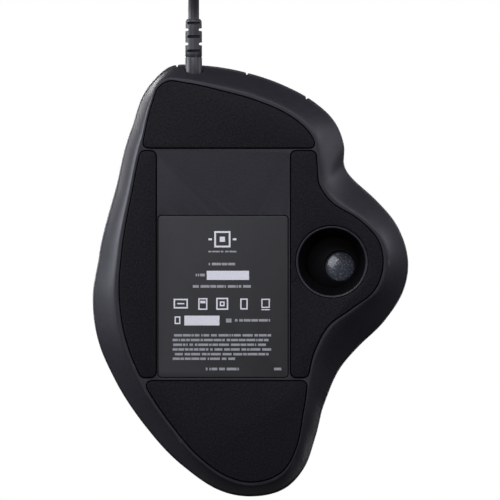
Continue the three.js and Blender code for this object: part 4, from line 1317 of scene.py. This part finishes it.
def print_piece(name, bars, material):
    """Ink as thin raised bars on the label's face."""
    vertices, faces = [], []
    for (x0, y0), (x1, y1) in bars:
        start = len(vertices)
        for z in (0.482, 0.51):
            vertices += [(x0, y0, z), (x1, y0, z), (x1, y1, z), (x0, y1, z)]
        faces += [tuple(start + i for i in face) for face in (
            (3, 2, 1, 0), (4, 5, 6, 7), (0, 1, 5, 4), (1, 2, 6, 5), (2, 3, 7, 6), (3, 0, 4, 7))]
    piece = mesh_object(name, vertices, faces, 30)
    finish_piece(piece, "label_film", "casing", material=material)


def greeked(left, right, y, height, seed):
    """A line of small blocks of uneven width that stands for a line of print."""
    gap = 0.55
    bars, x, k = [], left, seed
    while x < right - 0.3:
        k = (k * 37 + 11) % 101
        width = 0.45 + (k % 9) * 0.33
        bars.append(((x, y), (min(x + width, right), y + height)))
        x += width + gap * (0.45 if k % 4 else 1.0)
    return bars


finish_piece(plate("label_sheet", LABEL_PLAN, 0.5, 0.9, 0.07, 0.0), "label_film", "casing", "label_plate")


def label_print():
    white, grey = [], []
    # An abstract mark: a frame round a block, with a short bar at each side.
    white += stroke((6.2, 10.2), (11.2, 15.2), 0.55)
    white += [((7.9, 11.9), (9.5, 13.5)), ((4.4, 12.4), (5.5, 13.0)), ((11.9, 12.4), (13.0, 13.0))]
    grey += greeked(4.4, 13.0, 8.7, 0.45, 5)
    grey += greeked(4.8, 12.9, 4.7, 0.75, 9)
    grey += greeked(14.1, 16.9, 1.3, 0.8, 3)
    white.append(((0.5, 0.2), (13.5, 3.0)))
    grey += greeked(-0.1, 17.8, -2.2, 0.8, 14)
    # Plain boxes and frames where a label has its small signs.
    white += stroke((19.3, -8.6), (23.7, -5.6), 0.45)
    white += [((20.4, -7.3), (22.6, -6.9))]
    white += stroke((13.3, -9.0), (16.1, -5.4), 0.4)
    white += stroke((13.9, -7.0), (15.5, -6.2))
    white += stroke((6.9, -9.0), (10.6, -5.3), 0.45)
    white += stroke((8.0, -7.9), (9.5, -6.4), 0.4)
    white += stroke((0.9, -8.9), (3.2, -5.5), 0.4)
    white += stroke((-5.9, -8.4), (-3.3, -5.6), 0.35)
    white += [((-5.9, -9.1), (-3.3, -8.8))]
    white += stroke((21.6, -13.4), (23.4, -11.0), 0.4)
    white.append(((9.6, -13.8), (20.4, -10.8)))
    grey += greeked(5.9, 7.6, -12.9, 1.2, 2)
    grey += greeked(-6.0, 4.9, -12.6, 0.75, 21)
    for k, y in enumerate((-17.2, -18.65, -20.1, -21.55, -23.0)):
        grey += greeked(-6.3 + (k % 3) * 0.8, 24.0, y, 0.72, 31 + 7 * k)
    grey += greeked(4.8, 24.0, -24.4, 0.72, 77)
    grey += greeked(3.6, 13.8, -27.6, 0.8, 54)
    grey += greeked(-9.4, -7.2, -27.6, 0.8, 12)
    print_piece("label_print_white", white, WHITE_INK)
    print_piece("label_print_grey", grey, GREY_INK)


label_print()


# ---- the cover, the buttons, the ball and the wheel ----

PANEL_EDGE = 0.45       # radius of the rounded edges of the cover and the buttons
AROUND_LEFT = grow(resample(BUTTON_PLANS["left_button"], 0.5), 2.5)


def add_cover():
    outer = even(ring_at(SKIRT, 0.6), 0.6)
    gap = 0.4
    holes = [flat_outline(grow(resample(plan, 0.5), gap), SKIRT - 1.5) for plan in BUTTON_PLANS.values()]
    holes.append(opening_outline())
    away = (BALL, BALL_RADIUS + 0.45)
    return panel("upper_cover", outer, holes, COVER_WALL, PANEL_EDGE, away_from=away,
                 steep_near=[AROUND_LEFT])


def add_button(name):
    outline = flat_outline(resample(BUTTON_PLANS[name], 0.5), BUTTON_BOTTOM)
    slot = []
    if name in LONG_BUTTONS:
        slot = [even(flat_of(raised(resample(slot_plan(4.5, 33.5, 58.1), 0.4))), 0.4)]
    steep = [AROUND_LEFT] if name == "left_button" else []
    return panel(name + "_panel", outline, slot, BUTTON_WALL, PANEL_EDGE, steep_near=steep)


def raised(plan):
    return np.column_stack([plan, cover_height(plan[:, 0], plan[:, 1])])


def add_post(x, y, low):
    """The presser under a button."""
    ring = circle(x, y, 1.45, 24)
    top = float(cover_height(ring[:, 0], ring[:, 1]).min()) - 0.7
    profile = [(0, low), (1.0, low), (1.3, low + 0.4), (1.45, top), (0, top)]
    return revolve("presser", profile, (x, y, 0), count=32)


PRESSERS = {
    "left_button": (-11, 42, 14.8), "right_button": (15, 42, 14.8),
    "forward_button": (-19.2, 45.2, 12.9), "back_button": (-19.8, 38, 12.9),
}
LONG_BUTTONS = ("left_button", "right_button")


def add_ledges():
    """Thin ledges of the cover that run under the gaps round the two long buttons."""
    ledges = []
    for name in LONG_BUTTONS:
        plan = resample(BUTTON_PLANS[name], 0.5)
        wide = flat_outline(grow(plan, 1.8), SHOULDER + 8)
        holes = [flat_outline(grow(plan, -1.6), SHOULDER + 10)]
        holes.append(even(flat_of(raised(resample(slot_plan(5.8, 32.0, 59.6), 0.5))), 0.5))
        ledges.append(panel(name + "_ledge", wide, holes, 4.3, 0.05, 2.2, depth_from=3.5))
    return ledges


finish_piece(join(add_cover(), add_ledges()), "cover", "casing", "top_shell")
for button_name, (post_x, post_y, post_low) in PRESSERS.items():
    button_panel = join(add_button(button_name), [add_post(post_x, post_y, post_low)])
    finish_piece(button_panel, "button", button_name, button_name)


def quad_ball(name, centre, radius):
    """A ball from a cube whose faces are divided and pushed out evenly."""
    work = bmesh.new()
    bmesh.ops.create_cube(work, size=2)
    bmesh.ops.subdivide_edges(work, edges=work.edges, cuts=31, use_grid_fill=True)
    vertices = []
    for vertex in work.verts:
        spread = [math.tan(c * math.pi / 4) for c in vertex.co]
        vertices.append(np.array(centre) + radius * np.array(Vector(spread).normalized()))
    faces = [tuple(vertex.index for vertex in face.verts) for face in work.faces]
    work.free()
    return mesh_object(name, vertices, faces, 60)


finish_piece(quad_ball("thumb_ball", BALL, BALL_RADIUS), "ball_resin", "trackball", "trackball")


def along_ball(polar, turn, distance):
    p, t = math.radians(polar), math.radians(turn)
    return BALL + distance * np.array([math.sin(p) * math.cos(t), math.sin(p) * math.sin(t), -math.cos(p)])


def add_cup():
    """The bowl under the ball, with three bores for its bearings, a sensor window and two screw ears."""
    inner, outer = 18.9, 20.7
    low, high = 13.5, 55.0

    def at(radius, degrees):
        return radius * math.sin(math.radians(degrees)), -radius * math.cos(math.radians(degrees))

    profile = [at(outer, a) for a in np.linspace(low, high - 1, 22)]
    profile += [at(outer - 0.3, high), at(inner + 0.3, high)]
    profile += [at(inner, a) for a in np.linspace(high - 1, low + 0.4, 22)]
    profile.append(at(inner + 0.5, low))
    bowl = revolve("bearing_cup", profile, BALL, (0, 0, 1), 120, 36)
    ears = []
    for x, y in CUP_SCREWS:
        reach = np.array([BALL[0] - x, BALL[1] - y])
        reach = 9 * reach / np.linalg.norm(reach)
        side = 2 * np.array([-reach[1], reach[0]]) / 9
        spot = np.array([x, y])
        corners = [spot + side * 0.98, spot + reach + side, spot + reach - side, spot - side]
        arm = round_corners(corners, 0.3)
        if cross_sum(arm) < 0:
            arm = arm[::-1]
        ears.append(plate("ear", arm, 9.8, 13.1, 0.2, 0.3))
        eye = [(0, 9.3), (2.8, 9.3), (3, 9.5), (3, 13.1), (2.8, 13.3), (0, 13.3)]
        ears.append(revolve("ear", eye, (x, y, 0), count=40))
    combine(bowl, "UNION", ears, 36)
    cuts = [quad_ball("cutter", BALL, inner)]
    for polar, turn, radius in ((45, 90, 2.4), (45, 210, 2.4), (45, 330, 2.4), (48, 0, 2.6)):
        start = along_ball(polar, turn, inner - 3)
        ahead = along_ball(polar, turn, outer + 3) - start
        cuts.append(revolve("cutter", [(0, 0), (radius, 0), (radius, 8), (0, 8)], start, ahead, 40))
    for x, y in CUP_SCREWS:
        cuts.append(revolve("cutter", [(0, 8), (1.4, 8), (1.4, 15), (0, 15)], (x, y, 0), count=24))
    return combine(bowl, "DIFFERENCE", cuts, 36)


def cross_sum(outline):
    x, y = outline[:, 0], outline[:, 1]
    return float((x * np.roll(y, -1) - y * np.roll(x, -1)).sum())


finish_piece(add_cup(), "cup_plastic", "casing", "ball_cup")


def add_wheel():
    """A ribbed rubber tyre and a dished hub with five round holes."""
    radius, half, hub = 10.7, 3.5, 8.6
    profile = [
        (hub + 0.3, -half), (radius - 0.9, -half), (radius - 0.45, -half + 0.12),
        (radius - 0.12, -half + 0.5), (radius, -half + 1.0),
    ]
    profile += [(radius, s) for s in np.linspace(-half + 1.4, half - 1.4, 7)]
    profile += [(r, -s) for r, s in profile[4::-1]]
    ribs = 30

    def ribbed(a, row_radius):
        depth = 0.0 if row_radius < radius - 0.2 else 0.62
        wave = np.clip(np.cos(a * ribs) * 1.8 + 0.2, -1, 1)
        return depth * (wave - 1) / 2

    tyre = revolve("scroll_tyre", profile, WHEEL, (1, 0, 0), 480, 50, ribbed)
    hub_profile = [
        (1.5, -3.2), (2.6, -3.2), (2.8, -3.0), (2.8, -1.7), (3.2, -1.5), (6.6, -1.5), (7.0, -1.7),
        (7.0, -3.0), (7.2, -3.2), (8.3, -3.2), (8.6, -2.9), (8.6, 2.9), (8.3, 3.2), (7.2, 3.2),
        (7.0, 3.0), (7.0, 1.2), (6.6, 1.0), (3.2, 1.0), (2.8, 1.2), (2.8, 3.0), (2.6, 3.2), (1.5, 3.2),
    ]
    rim = revolve("scroll_hub", hub_profile, WHEEL, (1, 0, 0), 96, 36)
    cuts = []
    for k in range(5):
        a = TURN * k / 5
        spot = WHEEL + np.array([0, 4.9 * math.cos(a), 4.9 * math.sin(a)])
        cuts.append(revolve("cutter", [(0, -4), (1.25, -4), (1.25, 4), (0, 4)], spot, (1, 0, 0), 32))
    return tyre, combine(rim, "DIFFERENCE", cuts, 36)


tyre, wheel_hub = add_wheel()
finish_piece(tyre, "tyre_rubber", "wheel", "wheel_tyre")
finish_piece(wheel_hub, "hub_plastic", "wheel", "wheel_hub")


# ---- the pieces inside keep their CAD shapes and get their finishes ----

slot_of = {entry["node"]: entry["material_slot"] for entry in frame["record"]["subparts"]}
for node_name, node in nodes.items():
    if node.hide_render:
        continue
    node.data.materials.clear()
    node.data.materials.append(LOOKS[slot_of[node_name]])
